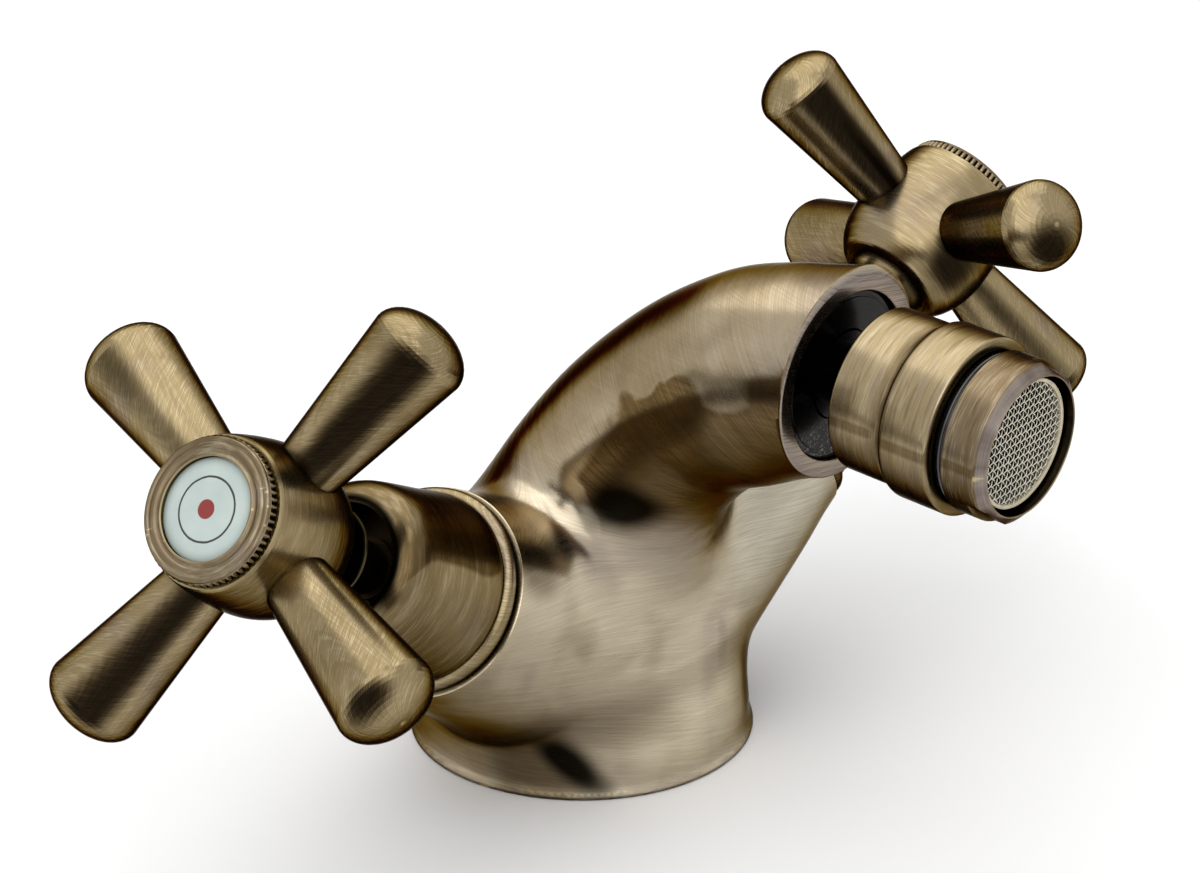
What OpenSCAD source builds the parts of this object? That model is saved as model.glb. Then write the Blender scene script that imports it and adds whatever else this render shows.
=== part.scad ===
// Two-handle bidet mixer tap: one casting with two horns and a swept spout,
// cross handles on quarter-turn headworks and an aerator on a ball joint.
// Millimetres. +Z is up, the spout points to -Y, the hot side is -X.
// The origin is the centre of the foot, on the surface that the tap stands on.

/* [Foot] */
// Radius of the foot where it stands
foot_r = 28.6; // [26:0.1:31]
// Radius of the upright band above the flared edge
foot_band_r = 27.4; // [25:0.1:29]
// Radius of the waist above the foot
waist_r = 25.4; // [23:0.1:27]
// Height of the waist
waist_h = 19; // [16:0.5:23]
// Mean radius of the seal under the foot
base_seal_r = 23; // [21:0.5:24]
// Width of the seal under the foot
base_seal_w = 2.6; // [2:0.1:3]
// Depth of the seal's groove
base_groove_d = 2.2; // [1.5:0.1:3]

/* [Hose inlets and fixing stud] */
// Tapped radius of each hose inlet
inlet_r = 4.45; // [4:0.05:5]
// Depth of the tapped inlet
inlet_depth = 12; // [9:0.5:14]
// Distance of each inlet from the middle
inlet_offset = 10; // [8.5:0.5:12]
// Tapped radius of the stud hole
stud_hole_r = 3.4; // [2.5:0.1:4]
// Depth of the stud hole
stud_hole_depth = 12; // [8:0.5:14]
// Distance of the stud hole behind the middle
stud_offset = 13; // [11:0.5:14]

/* [Horns] */
// Height at which the two handle axes meet
horn_root_z = 13.1; // [11:0.1:15]
// Angle of each handle axis above the horizontal
horn_rise = 33; // [29:0.5:36]
// Angle that each handle axis leans towards the spout
horn_lean = 6.2; // [0:0.1:8]
// Distance along the axis from where they meet to the shroud
horn_reach = 51.85; // [49:0.05:56]
// Radius of the horn at its outer end
horn_end_r = 16.2; // [15:0.1:17]
// Radius of the horn where it leaves the body
horn_root_r = 19.6; // [18.5:0.1:21]
// Radius of the bead round the horn's end
bead_r = 16.2; // [15.6:0.1:16.8]
// Width of the bead
bead_w = 2.8; // [2:0.1:3.4]

/* [Spout] */
// Distance of the outlet face in front of the foot's centre
outlet_reach = 53.45; // [50:0.05:60]
// Height of the middle of the outlet face
outlet_h = 76.3; // [72:0.1:82]
// Angle that the outlet faces down
outlet_drop = 3.5; // [0:0.5:8]
// Radius of the spout at its mouth
mouth_r = 16.3; // [15.5:0.1:17.5]

/* [Outlet insert] */
// Radius of the polished insert
insert_r = 13.45; // [12.9:0.05:13.8]
// Distance that the insert's face sits inside the mouth
insert_sink = 0.95; // [0.5:0.05:1.5]
// Radius of the waterway in the spout
waterway_r = 5.5; // [4.5:0.1:6]
// Thickness of the insert's flange
insert_flange = 5; // [4:0.5:6]
// Radius of the insert's threaded tail
insert_tail_r = 10; // [9:0.1:10.6]
// Length of the insert's threaded tail
insert_tail = 7; // [5:0.5:8]
// Section diameter of the seal behind the insert's flange
insert_seal_w = 1.6; // [1.2:0.1:2]

/* [Ball joint] */
// Radius of the ball
ball_r = 9.2; // [8.6:0.1:9.4]
// Distance of the ball's centre in front of the outlet face
ball_at = 12; // [11.5:0.1:12.5]
// Radius of the ball's neck
neck_r = 5.1; // [4.6:0.1:5.2]
// Radius of the waterway through the ball
ball_bore_r = 3.4; // [2.5:0.1:3.8]
// Radius of the stud's threaded tail
stud_tail_r = 6.9; // [6:0.1:7.2]
// Radius of the spherical seat
seat_r = 10.2; // [10:0.05:10.3]
// Half the angle that the liner covers round the ball
liner_half_angle = 15; // [12:1:18]
// Radius of the rear collar
ring_r = 12.8; // [12.5:0.05:13.2]
// Distance of the rear collar in front of the outlet face
ring_at = 5.9; // [5.5:0.1:6.2]
// Length of the rear collar
ring_len = 9.68; // [9.4:0.02:10]
// Radius of the front collar
housing_r = 13.8; // [13.4:0.05:14.4]
// Length of the front collar
housing_len = 9.1; // [8.6:0.05:9.6]
// Width of the front collar's chamfers
housing_chamfer = 0.7; // [0.4:0.1:1]
// Radius of the spigot that the rear collar screws onto
spigot_r = 11.3; // [11.1:0.05:11.5]

/* [Aerator] */
// Radius of the aerator's outer ring
aerator_r = 12.5; // [12:0.05:13]
// Length of the aerator's outer ring
aerator_len = 7.4; // [6.5:0.1:8.5]
// Open gap between the front collar and the outer ring
aerator_gap = 1.5; // [1:0.1:2]
// Radius of the aerator's thread
aerator_thread_r = 11.2; // [10.9:0.05:11.4]
// Length of the aerator's thread inside the collar
aerator_thread = 4; // [3:0.1:4.4]
// Radius of the cartridge's rim
cartridge_rim_r = 10.15; // [9.9:0.05:10.3]
// Radius of the cartridge's barrel
cartridge_r = 9.5; // [9:0.05:9.7]
// Radius of the recess round the cartridge's rim
aerator_recess_r = 10.7; // [10.5:0.05:11.2]
// Distance across the spanner flats
spanner_flats = 23.2; // [22.6:0.1:24]
// Turn of the spanner flats round the axis
spanner_turn = 56; // [0:1:180]
// Pitch of the openings in the outlet screen
screen_pitch = 1.5; // [1.3:0.1:2.4]
// Width of each bar of the outlet screen
screen_bar = 0.5; // [0.4:0.05:0.7]

/* [Shroud] */
// Radius of the shroud at its foot
shroud_r = 15; // [14.6:0.1:15.4]
// Radius of the shroud at its front
shroud_front_r = 12.9; // [12.4:0.1:14]
// Length of the shroud
shroud_len = 22; // [20:0.1:23]
// Radius of the shroud's rounded front edge
shroud_round = 3.4; // [2:0.1:4]
// Radius of the opening round the handle's neck
shroud_mouth_r = 8.7; // [8.4:0.1:9.4]
// Thickness of the shroud's wall
shroud_wall = 1.3; // [1:0.1:1.8]

/* [Headwork] */
// Radius of the headwork's thread in the horn
headwork_r = 10.3; // [9.8:0.05:10.5]
// Length of that thread
headwork_thread = 8; // [7:0.5:9]
// Radius of the skirt that holds the ceramic discs
skirt_r = 8.6; // [8.3:0.1:9]
// Distance across the flats of the headwork's hexagon
hex_flats = 22; // [20:0.5:23]
// Thickness of the hexagon
hex_len = 5; // [4:0.5:6]
// Radius of the headwork's upper barrel
barrel_r = 8.8; // [8.4:0.1:9]
// Height of the barrel above the hexagon
barrel_len = 8.5; // [7:0.5:9]
// Thickness of the washer under the hexagon
washer_len = 1; // [0.8:0.1:1.5]
// Radius of the spindle
spindle_r = 4; // [3.6:0.1:4.4]
// Radius of the ceramic discs
disc_r = 7.5; // [7.2:0.05:7.6]
// Thickness of each ceramic disc
disc_len = 2.6; // [2.2:0.1:3]
// Height of the rubber ring against the valve seat
valve_seal_len = 2; // [1.6:0.1:2.4]
// Quarter turn from closed to open
valve_turn = 90; // [90]
// Angle that the stop lug covers
stop_lug_angle = 40; // [30:5:60]

/* [Cross handle] */
// Distance of the cap's face in front of the shroud's foot
cap_face_at = 57.6; // [56.5:0.1:58.5]
// Distance of the arms' middle in front of the shroud's foot
arms_at = 45.1; // [44.5:0.1:45.7]
// Turn of the hot handle's arms when it is closed
hot_arms_angle = 60.4; // [0:0.1:90]
// Turn of the cold handle's arms when it is closed
cold_arms_angle = 66; // [0:0.1:90]
// Reach of an arm's tip from the handle's axis
arm_reach = 40; // [37:0.1:43]
// Greatest radius of an arm, near its tip
arm_tip_r = 7.7; // [7:0.1:8.2]
// Radius of an arm where it leaves the hub
arm_root_r = 4.7; // [4.2:0.1:5.2]
// Height of the domed end of an arm
arm_dome = 4.9; // [3.5:0.1:6]
// Greatest radius of the hub
hub_r = 13; // [12.4:0.1:13.4]
// Radius of the neck behind the hub
hub_neck_r = 7; // [6.5:0.1:7.4]
// Length of the hub from the cap to the rear of its neck
hub_len = 29.3; // [28:0.1:30.5]

/* [Index cap] */
// Radius of the knurled cap
cap_r = 10.95; // [10.4:0.05:11.4]
// Thickness of the knurled cap
cap_len = 2.1; // [1.8:0.1:2.6]
// Number of teeth of the knurl
knurl_teeth = 64; // [48:4:80]
// Depth of the knurl
knurl_depth = 0.45; // [0.3:0.05:0.6]
// Radius of the window in the cap
window_r = 7.6; // [7.2:0.05:8]
// Radius of the porcelain disc
porcelain_r = 8; // [7.7:0.05:8.2]
// Thickness of the porcelain disc
porcelain_len = 2.4; // [2:0.1:3]
// Radius of the cap's threaded spigot
cap_spigot_r = 9; // [8.8:0.05:9.2]
// Length of the cap's threaded spigot
cap_spigot_len = 4.5; // [3.5:0.1:5]

/* [Hidden] */
$fn = 96;

// Finishes
bronze = "#8f7f5c";
brass = "#b89b5a";
polished = "#8c8778";
rubber = "#22201e";
plastic = "#e4e0cf";
porcelain = "#dfe4e2";
steel = "#b9bab8";

HOT = -1;
COLD = 1;

// Small clearances shared by all pieces
screwed = 0.05;
running = 0.05;
apart = 0.3;
overrun = 1;

// Small sizes of the casting
edge_round = 0.5;
horn_face_back = 0.3;
bead_groove_d = 0.9;
bead_groove_w = 0.5;
foot_flare_h = 3;
steps_per_station = 2;
cavity_r = 9.2;
seat_len = 9;
seat_port_r = 4.2;
cross_port_r = 3.2;

// Centre line and radius of the spout, as shares of the outlet's reach, height and radius
spout_station_shares = [[0, 0.16, 1.48], [-0.015, 0.343, 1.38], [0.079, 0.503, 1.22],
                        [0.236, 0.697, 1.05], [0.46, 0.853, 1.0], [0.672, 0.937, 1.035],
                        [0.82, 0.978, 1.01], [0.953, 1.001, 0.993]];

function lerp(a, b, k) = a + (b - a) * k;
function smooth(k) = k * k * (3 - 2 * k);

// Point at share k of the smooth curve between b and c, which follow a and are followed by d
function curve_point(a, b, c, d, k) =
    (2 * b + (c - a) * k + (2 * a - 5 * b + 4 * c - d) * pow(k, 2)
     + (3 * b - a - 3 * c + d) * pow(k, 3)) / 2;

function smooth_line(p, steps) =
    let (q = concat([2 * p[0] - p[1]], p, [2 * p[len(p) - 1] - p[len(p) - 2]]))
    concat([for (i = [0 : len(p) - 2]) for (k = [0 : steps - 1])
            curve_point(q[i], q[i + 1], q[i + 2], q[i + 3], k / steps)],
           [p[len(p) - 1]]);

// Points of an arc about [x, y]
function arc(x, y, r, from, to, steps) =
    [for (i = [0 : steps]) let (a = lerp(from, to, i / steps)) [x + r * cos(a), y + r * sin(a)]];

// Points of a quarter of an ellipse, from its side at [rx, y] to its top at [0, y + ry]
function dome(rx, y, ry, steps) =
    [for (i = [0 : steps]) let (a = 90 * i / steps) [rx * cos(a), y + ry * sin(a)]];

module on_handle(side) {
    translate([0, 0, horn_root_z])
        rotate([0, 90 - horn_rise, side < 0 ? 180 + horn_lean : -horn_lean])
            children();
}

// The same frame, moved out to the foot of the shroud
module on_horn(side) {
    on_handle(side) translate([0, 0, horn_reach]) children();
}

// Frame of the outlet: its +Z leaves the spout's mouth
module on_outlet() {
    translate([0, -outlet_reach, outlet_h]) rotate([90 + outlet_drop, 0, 0]) children();
}

module tube(outer, inner, from, to) {
    translate([0, 0, from]) difference() {
        cylinder(r = outer, h = to - from);
        translate([0, 0, -overrun]) cylinder(r = inner, h = to - from + 2 * overrun);
    }
}

// Ring of round section about the axis
module o_ring(middle_r, section_r, at) {
    translate([0, 0, at]) rotate_extrude() translate([middle_r, 0]) circle(r = section_r, $fn = 32);
}

// Sector of a ring, from one angle to another
module sector(outer, inner, from, to, start, angle) {
    translate([0, 0, from]) rotate([0, 0, start]) rotate_extrude(angle = angle)
        translate([inner, 0]) square([outer - inner, to - from]);
}

// Foot: a flared edge, an upright band and a waist
module foot() {
    band_steps = 6;
    rotate_extrude() polygon(concat(
        [[0, 0], [foot_r - edge_round, 0]],
        arc(foot_r - edge_round, edge_round, edge_round, -90, 0, 4),
        [for (i = [1 : band_steps]) let (k = i / band_steps)
            [lerp(foot_r, foot_band_r, 1 - pow(1 - k, 2)), lerp(edge_round, foot_flare_h, k)]],
        [for (i = [1 : band_steps]) let (k = i / band_steps)
            [lerp(foot_band_r, waist_r, smooth(k)), lerp(foot_flare_h, waist_h, k)]],
        [[waist_r, waist_h], [waist_r * waist_dome_share, waist_h + waist_h * waist_dome_share / 2],
         [0, waist_h + waist_h / 2]]));
}
waist_dome_share = 0.7;

// Horn: a cone that ends in a groove and a bead
module horn() {
    bead_at = horn_reach - horn_face_back - bead_w / 2;
    neck_at = bead_at - bead_w / 2 - bead_groove_w;
    bead_bulge = bead_w / 2;
    rotate_extrude() polygon(concat(
        [[0, 0]],
        [for (p = horn_root_shares) [p[1] * horn_root_r, p[0] * horn_reach]],
        [[horn_end_r, neck_at], [horn_end_r - bead_groove_d, neck_at],
         [horn_end_r - bead_groove_d, neck_at + bead_groove_w]],
        arc(bead_r - bead_bulge, bead_at, bead_bulge, -90, 90, 10),
        [[0, horn_reach - horn_face_back]]));
}
// Distance along the axis and radius of the horn near the body, as shares of its reach and root radius
horn_root_shares = [[0, 0.55], [0.1, 0.78], [0.22, 0.93], [0.34, 0.99], [0.46, 1], [0.6, 0.962],
                    [0.75, 0.915]];

// Spout: cones from station to station of a smooth centre line, with balls at the bends
function spout_path() = smooth_line(
    [for (s = spout_station_shares) [-s[0] * outlet_reach, s[1] * outlet_h, s[2] * mouth_r]],
    steps_per_station);

// Cone that touches the balls at both of its ends
module station_cone(a, b) {
    d = norm([b[0] - a[0], b[1] - a[1]]);
    lean = (a[2] - b[2]) / d;
    side = sqrt(1 - lean * lean) * cone_share;
    translate([0, a[0], a[1]]) rotate([atan2(b[1] - a[1], b[0] - a[0]) - 90, 0, 0])
        translate([0, 0, a[2] * lean])
            cylinder(r1 = a[2] * side, r2 = b[2] * side, h = d + (b[2] - a[2]) * lean);
}
// Share of the balls' radius that the cones reach
cone_share = 0.997;

module spout() {
    path = spout_path();
    n = len(path);
    difference() {
        union() {
            for (i = [0 : n - 2]) station_cone(path[i], path[i + 1]);
            for (p = path) if (p[1] > p[2]) translate([0, p[0], p[1]]) sphere(r = p[2]);
        }
        on_outlet() cylinder(r = outlet_reach, h = outlet_reach);
    }
}

// Waterways: inlets, valve seats, and the way from both valves to the outlet
module horn_bores(side) {
    on_handle(side) {
        translate([0, 0, horn_reach - headwork_thread])
            cylinder(r = headwork_r + screwed, h = headwork_thread + overrun);
        translate([0, 0, horn_reach - headwork_thread - seat_len])
            cylinder(r = cavity_r, h = seat_len + overrun);
        translate([0, 0, inlet_offset / cos(horn_rise)])
            cylinder(r = seat_port_r, h = horn_reach - headwork_thread - inlet_offset / cos(horn_rise));
    }
}

module inlet(side) {
    inlet_top = horn_root_z + inlet_offset * tan(horn_rise);
    translate([side * inlet_offset, 0, -overrun]) cylinder(r = inlet_r, h = inlet_depth + overrun);
    translate([side * inlet_offset, 0, 0]) cylinder(r = seat_port_r * narrow_share, h = inlet_top);
}
narrow_share = 0.8;

module base_holes() {
    translate([0, stud_offset, -overrun]) cylinder(r = stud_hole_r, h = stud_hole_depth + overrun);
    translate([0, 0, -overrun]) tube(base_seal_r + base_seal_w / 2, base_seal_r - base_seal_w / 2,
                                     0, base_groove_d + overrun);
}

module outlet_bores() {
    on_outlet() {
        translate([0, 0, -insert_sink - insert_flange])
            cylinder(r = insert_r + screwed, h = insert_sink + insert_flange + overrun);
        translate([0, 0, -insert_sink - insert_flange - insert_tail])
            cylinder(r = insert_tail_r + screwed, h = insert_tail + overrun);
    }
}

// Round passage from point a to point b
module passage(a, b, r) {
    v = b - a;
    translate(a) rotate([0, acos(v[2] / norm(v)), atan2(v[1], v[0])]) cylinder(r = r, h = norm(v));
}

// Way from both valves to the outlet: a bent passage up the spout and one branch to each valve
module waterway() {
    points = [for (s = waterway_shares) [0, -s[0] * outlet_reach, s[1] * outlet_h]];
    n = len(points);
    for (i = [0 : n - 2]) passage(points[i], points[i + 1], waterway_r);
    for (i = [0 : n - 2]) translate(points[i]) sphere(r = waterway_r);
    for (side = [HOT, COLD])
        passage([side * branch_share[0] * horn_reach, points[0][1], branch_share[1] * outlet_h],
                points[0], cross_port_r);
}
// Bends of the waterway, as shares of the outlet's reach and height
waterway_shares = [[0.13, 0.53], [0.46, 0.86], [0.75, 0.99]];
// Where the branches meet the valves, as shares of the horn's reach and the outlet's height
branch_share = [0.53, 0.5];

module body() {
    color(bronze) difference() {
        union() {
            foot();
            on_handle(HOT) horn();
            on_handle(COLD) horn();
            spout();
        }
        horn_bores(HOT);
        horn_bores(COLD);
        inlet(HOT);
        inlet(COLD);
        base_holes();
        outlet_bores();
        waterway();
    }
}

module base_seal() {
    color(rubber) tube(base_seal_r + base_seal_w / 2 - running, base_seal_r - base_seal_w / 2 + running,
                       0, base_groove_d - running);
}

module outlet_insert() {
    front = -insert_sink;
    color(polished) on_outlet() difference() {
        union() {
            translate([0, 0, front - insert_flange]) cylinder(r = insert_r, h = insert_flange);
            translate([0, 0, front - insert_flange - insert_tail + insert_seal_w])
                cylinder(r = insert_tail_r, h = insert_tail);
        }
        translate([0, 0, front - insert_flange - insert_tail])
            cylinder(r = stud_tail_r + screwed, h = insert_flange + insert_tail + overrun);
        insert_groove(front - insert_flange);
    }
}

// Step in the insert's rear edge for its seal
module insert_groove(at) {
    tube(insert_r + overrun, insert_r - insert_seal_w, at - overrun, at + insert_seal_w);
}

module insert_seal() {
    color(rubber) on_outlet()
        o_ring(insert_r - insert_seal_w / 2, insert_seal_w / 2 - running,
               -insert_sink - insert_flange + insert_seal_w / 2);
}

module ball_stud() {
    tail_end = -insert_sink - insert_flange - insert_tail + insert_seal_w;
    color(polished) on_outlet() difference() {
        union() {
            translate([0, 0, tail_end]) cylinder(r = stud_tail_r, h = -insert_sink - tail_end);
            translate([0, 0, -insert_sink]) cylinder(r = neck_r, h = ball_at + insert_sink);
            translate([0, 0, ball_at]) sphere(r = ball_r);
        }
        translate([0, 0, tail_end - overrun])
            cylinder(r = ball_bore_r, h = ball_at + ball_r - tail_end + 2 * overrun);
    }
}

// Liner between the ball and its spherical seat
module ball_seat() {
    color(plastic) on_outlet() translate([0, 0, ball_at]) rotate_extrude() difference() {
        intersection() {
            circle(r = seat_r - running);
            polygon([[0, 0], [seat_r + overrun, -(seat_r + overrun) * tan(liner_half_angle)],
                     [seat_r + overrun, (seat_r + overrun) * tan(liner_half_angle)]]);
        }
        circle(r = ball_r + running);
    }
}

// Hollow for the ball joint in both collars
module seat_sphere() {
    translate([0, 0, ball_at]) sphere(r = seat_r);
}

module swivel_ring() {
    thread_from = ball_at - spigot_back;
    color(bronze) on_outlet() difference() {
        translate([0, 0, ring_at]) turned_collar(ring_r, ring_len, edge_round);
        seat_sphere();
        translate([0, 0, thread_from]) cylinder(r = spigot_r + screwed, h = ring_len);
    }
}
spigot_back = 2;

// Collar with equal small chamfers on both outer edges
module turned_collar(r, h, chamfer) {
    rotate_extrude()
        polygon([[0, 0], [r - chamfer, 0], [r, chamfer], [r, h - chamfer], [r - chamfer, h], [0, h]]);
}

module swivel_housing() {
    from = ring_at + ring_len;
    color(bronze) on_outlet() difference() {
        union() {
            translate([0, 0, from]) turned_collar(housing_r, housing_len, housing_chamfer);
            translate([0, 0, ball_at - spigot_back + running])
                cylinder(r = spigot_r, h = from - ball_at + spigot_back + overrun);
        }
        seat_sphere();
        translate([0, 0, ball_at]) cylinder(r = throat_r, h = housing_len * 2);
        translate([0, 0, from + housing_len - aerator_thread - washer_len])
            cylinder(r = aerator_thread_r + screwed, h = aerator_thread + washer_len + overrun);
    }
}
throat_r = 7.6;

module aerator_washer() {
    at = ring_at + ring_len + housing_len - aerator_thread;
    color(rubber) on_outlet() tube(aerator_thread_r - running, throat_r, at - washer_len, at - running);
}

module aerator_body() {
    thread_from = ring_at + ring_len + housing_len - aerator_thread;
    ring_from = thread_from + aerator_thread + aerator_gap;
    front = ring_from + aerator_len;
    relief_r = aerator_thread_r - 2 * apart;
    color(bronze) on_outlet() difference() {
        union() {
            translate([0, 0, thread_from]) cylinder(r = aerator_thread_r, h = aerator_thread);
            translate([0, 0, thread_from]) cylinder(r = relief_r, h = aerator_thread + aerator_gap + overrun);
            translate([0, 0, ring_from]) turned_collar(aerator_r, aerator_len, edge_round);
        }
        translate([0, 0, thread_from - overrun])
            cylinder(r = cartridge_r + running, h = front - thread_from + 2 * overrun);
        translate([0, 0, front - rim_len - rim_sink])
            cylinder(r = aerator_recess_r, h = rim_len + rim_sink + overrun);
        rotate([0, 0, spanner_turn]) for (a = [0, 180]) rotate([0, 0, a])
            translate([spanner_flats / 2, -aerator_r, front - flat_len])
                cube([aerator_r, 2 * aerator_r, flat_len + overrun]);
    }
}
rim_len = 1.6;
rim_sink = 0.7;
flat_len = 3.2;

module aerator_cartridge() {
    back = ring_at + ring_len + housing_len - aerator_thread + cartridge_setback;
    front = ring_at + ring_len + housing_len + aerator_gap + aerator_len;
    color(plastic) on_outlet() {
        difference() {
            union() {
                translate([0, 0, back]) cylinder(r = cartridge_r, h = front - rim_sink - back);
                translate([0, 0, front - rim_sink - rim_len]) cylinder(r = cartridge_rim_r, h = rim_len);
            }
            translate([0, 0, back + cartridge_floor])
                cylinder(r = cartridge_r - cartridge_wall, h = front);
            translate([0, 0, front - rim_sink - screen_sink - screen_len])
                cylinder(r = cartridge_rim_r - rim_w, h = front);
            for (a = [0 : 45 : 315]) rotate([0, 0, a]) translate([cartridge_r / 2, 0, back - overrun])
                cylinder(r = cartridge_wall, h = cartridge_floor + 2 * overrun);
        }
        translate([0, 0, back + cartridge_floor])
            cylinder(r = cartridge_wall,
                     h = front - rim_sink - screen_sink - screen_len - back - cartridge_floor);
    }
}
// Distance that the cartridge stays clear of the ball behind it
cartridge_setback = 0.9;
cartridge_wall = 0.9;
cartridge_floor = 1.6;
screen_len = 0.4;
screen_sink = 0.15;
rim_w = 0.7;

// Rubber ring that fills the gap between the front collar and the outer ring
module aerator_seal() {
    at = ring_at + ring_len + housing_len;
    color(rubber) on_outlet()
        tube(aerator_r - seal_inset, aerator_thread_r - 2 * apart + running,
             at + running, at + aerator_gap - running);
}
seal_inset = 0.6;

// Square openings on a diagonal grid, left out where they would reach the rim
module outlet_screen() {
    front = ring_at + ring_len + housing_len + aerator_gap + aerator_len;
    r = cartridge_rim_r - rim_w - running;
    n = floor(r / screen_pitch);
    hole = screen_pitch - screen_bar;
    color(steel) on_outlet() translate([0, 0, front - rim_sink - screen_sink - screen_len])
        linear_extrude(screen_len) difference() {
            circle(r = r);
            rotate([0, 0, 45]) for (i = [-n : n]) for (j = [-n : n])
                if (norm([i, j]) * screen_pitch + hole < r)
                    translate([i * screen_pitch, j * screen_pitch]) square(hole, center = true);
        }
}

// Outline of the shroud, moved inwards by the thickness of a wall
function shroud_outline(wall, from) =
    let (foot = shroud_r - wall, front = shroud_front_r - wall, round = shroud_round, top = shroud_len - wall)
    concat([[0, from], [lerp(foot, front, smooth_taper(from / shroud_len)), from]],
           [for (i = [1 : shroud_steps]) let (z = lerp(from, top - round, i / shroud_steps))
               [lerp(foot, front, smooth_taper(z / shroud_len)), z]],
           arc(front - round, top - round, round, round_start_angle, 90, 8),
           [[0, top]]);
function smooth_taper(k) = k * (2 - k) * taper_bend + k * (1 - taper_bend);
round_start_angle = 9;
taper_bend = 0.4;
shroud_steps = 6;

// Turned cover over the headwork, open at the front round the handle's neck
module shroud() {
    web_at = washer_len + hex_len + apart;
    color(bronze) difference() {
        rotate_extrude() polygon(shroud_outline(0, 0));
        translate([0, 0, -overrun]) cylinder(r = shroud_r - shroud_wall, h = web_at + overrun);
        translate([0, 0, web_at - overrun]) cylinder(r = barrel_r + screwed, h = shroud_web + 2 * overrun);
        rotate_extrude() polygon(shroud_outline(shroud_wall, web_at + shroud_web));
        translate([0, 0, shroud_len - shroud_round]) cylinder(r = shroud_mouth_r, h = shroud_round + overrun);
    }
}
shroud_web = 2;

// Headwork: thread and skirt below its hexagon, barrel with a stop above it
module headwork(side) {
    hex_at = washer_len - horn_face_back;
    top = hex_at + hex_len + barrel_len;
    skirt_end = -headwork_thread - skirt_len;
    color(brass) difference() {
        union() {
            translate([0, 0, skirt_end]) cylinder(r = skirt_r, h = -skirt_end);
            translate([0, 0, -headwork_thread]) cylinder(r = headwork_r, h = headwork_thread + hex_at);
            translate([0, 0, hex_at]) cylinder(r = hex_corner_r, h = hex_len, $fn = 6);
            translate([0, 0, hex_at]) cylinder(r = barrel_r, h = hex_len + barrel_len);
        }
        translate([0, 0, skirt_end - overrun])
            cylinder(r = disc_r + running, h = plate_at() + driver_len + apart - skirt_end + overrun);
        translate([0, 0, skirt_end]) cylinder(r = spindle_r + running, h = top - skirt_end + overrun);
        translate([0, 0, top - stop_depth]) cylinder(r = stop_r + running, h = stop_depth + overrun);
        translate([-skirt_r - overrun, -window_w / 2, -headwork_thread - window_len - apart])
            cube([2 * (skirt_r + overrun), window_w, window_len]);
    }
    color(brass) rotate([0, 0, side < 0 ? 0 : -valve_turn])
        sector(stop_r + overrun / 2, spindle_r + apart, top - stop_depth - running, top - apart,
               stop_lug_angle / 2 + valve_turn + stop_slack,
               360 - stop_lug_angle - valve_turn - 2 * stop_slack);
}
// Radius of the hexagon's corners
hex_corner_r = hex_flats / (2 * cos(30));
// Sizes inside the headwork
skirt_len = 7;
window_w = 8;
window_len = 3.6;
stop_depth = 2.4;
stop_r = 6.4;
stop_slack = 2;

module headwork_washer() {
    color(rubber) tube(hex_corner_r - apart, headwork_r + running,
                       -horn_face_back, washer_len - horn_face_back);
}

module valve_seal() {
    bottom = -headwork_thread - seat_len;
    color(rubber) tube(disc_r - apart, seat_port_r + apart, bottom, bottom + valve_seal_len);
}

// Ceramic disc with two ports, which the moving disc shuts when it stands across the fixed one
module ceramic_disc(from, turn) {
    color(porcelain) difference() {
        translate([0, 0, from]) cylinder(r = disc_r, h = disc_len);
        for (a = [0, 180])
            sector(disc_r * port_outer_share, disc_r * port_inner_share,
                   from - overrun, from + disc_len + overrun, turn + a + (90 - port_angle) / 2, port_angle);
    }
}
port_outer_share = 0.8;
port_inner_share = 0.3;
port_angle = 76;

// Height at which the two ceramic discs meet
function disc_joint() = -headwork_thread - seat_len + valve_seal_len + disc_len;
// Height of the plate that drives the moving disc
function plate_at() = disc_joint() + running + disc_len;

module spindle() {
    stop_at = washer_len - horn_face_back + hex_len + barrel_len - stop_depth;
    color(brass) difference() {
        union() {
            translate([0, 0, plate_at()]) cylinder(r = disc_r - apart, h = driver_len);
            translate([0, 0, plate_at()]) cylinder(r = spindle_r, h = spline_from - plate_at());
            translate([0, 0, spline_from - overrun]) spline();
            sector(stop_r - running, spindle_r - overrun, stop_at + running, stop_at + stop_depth - apart,
                   -stop_lug_angle / 2, stop_lug_angle);
        }
        for (z = seal_places) spindle_groove(z);
        translate([0, 0, stop_at + stop_depth + apart])
            tube(spindle_r + overrun, spindle_r - clip_depth, 0, clip_len + 2 * running);
        translate([0, 0, spindle_end - screw_bite]) cylinder(r = screw_r + screwed, h = screw_bite + overrun);
    }
}
driver_len = 1.6;
spline_teeth = 20;
spline_depth = 0.4;
spline_from = 22;
spindle_end = 40;
seal_places = [-2, 1.5];
seal_section = 0.65;
clip_depth = 0.8;
clip_len = 0.8;
screw_r = 2;
screw_bite = 9;

module spline() {
    linear_extrude(spindle_end - spline_from + overrun) polygon([for (i = [0 : 2 * spline_teeth - 1])
        let (r = i % 2 == 0 ? spindle_r - running : spindle_r - spline_depth, a = 180 * i / spline_teeth)
        [r * cos(a), r * sin(a)]]);
}

module spindle_groove(at) {
    tube(spindle_r + overrun, spindle_r - 2 * seal_section,
         at - seal_section - running, at + seal_section + running);
}

module spindle_seals() {
    color(rubber) for (z = seal_places) o_ring(spindle_r - seal_section, seal_section - running / 2, z);
}

module spindle_clip() {
    at = washer_len - horn_face_back + hex_len + barrel_len + apart + running;
    color(steel) difference() {
        tube(spindle_r + clip_depth, spindle_r - clip_depth + running, at, at + clip_len);
        translate([0, -clip_depth, at - overrun])
            cube([spindle_r + 2 * clip_depth, 2 * clip_depth, clip_len + 2 * overrun]);
    }
}

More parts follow.
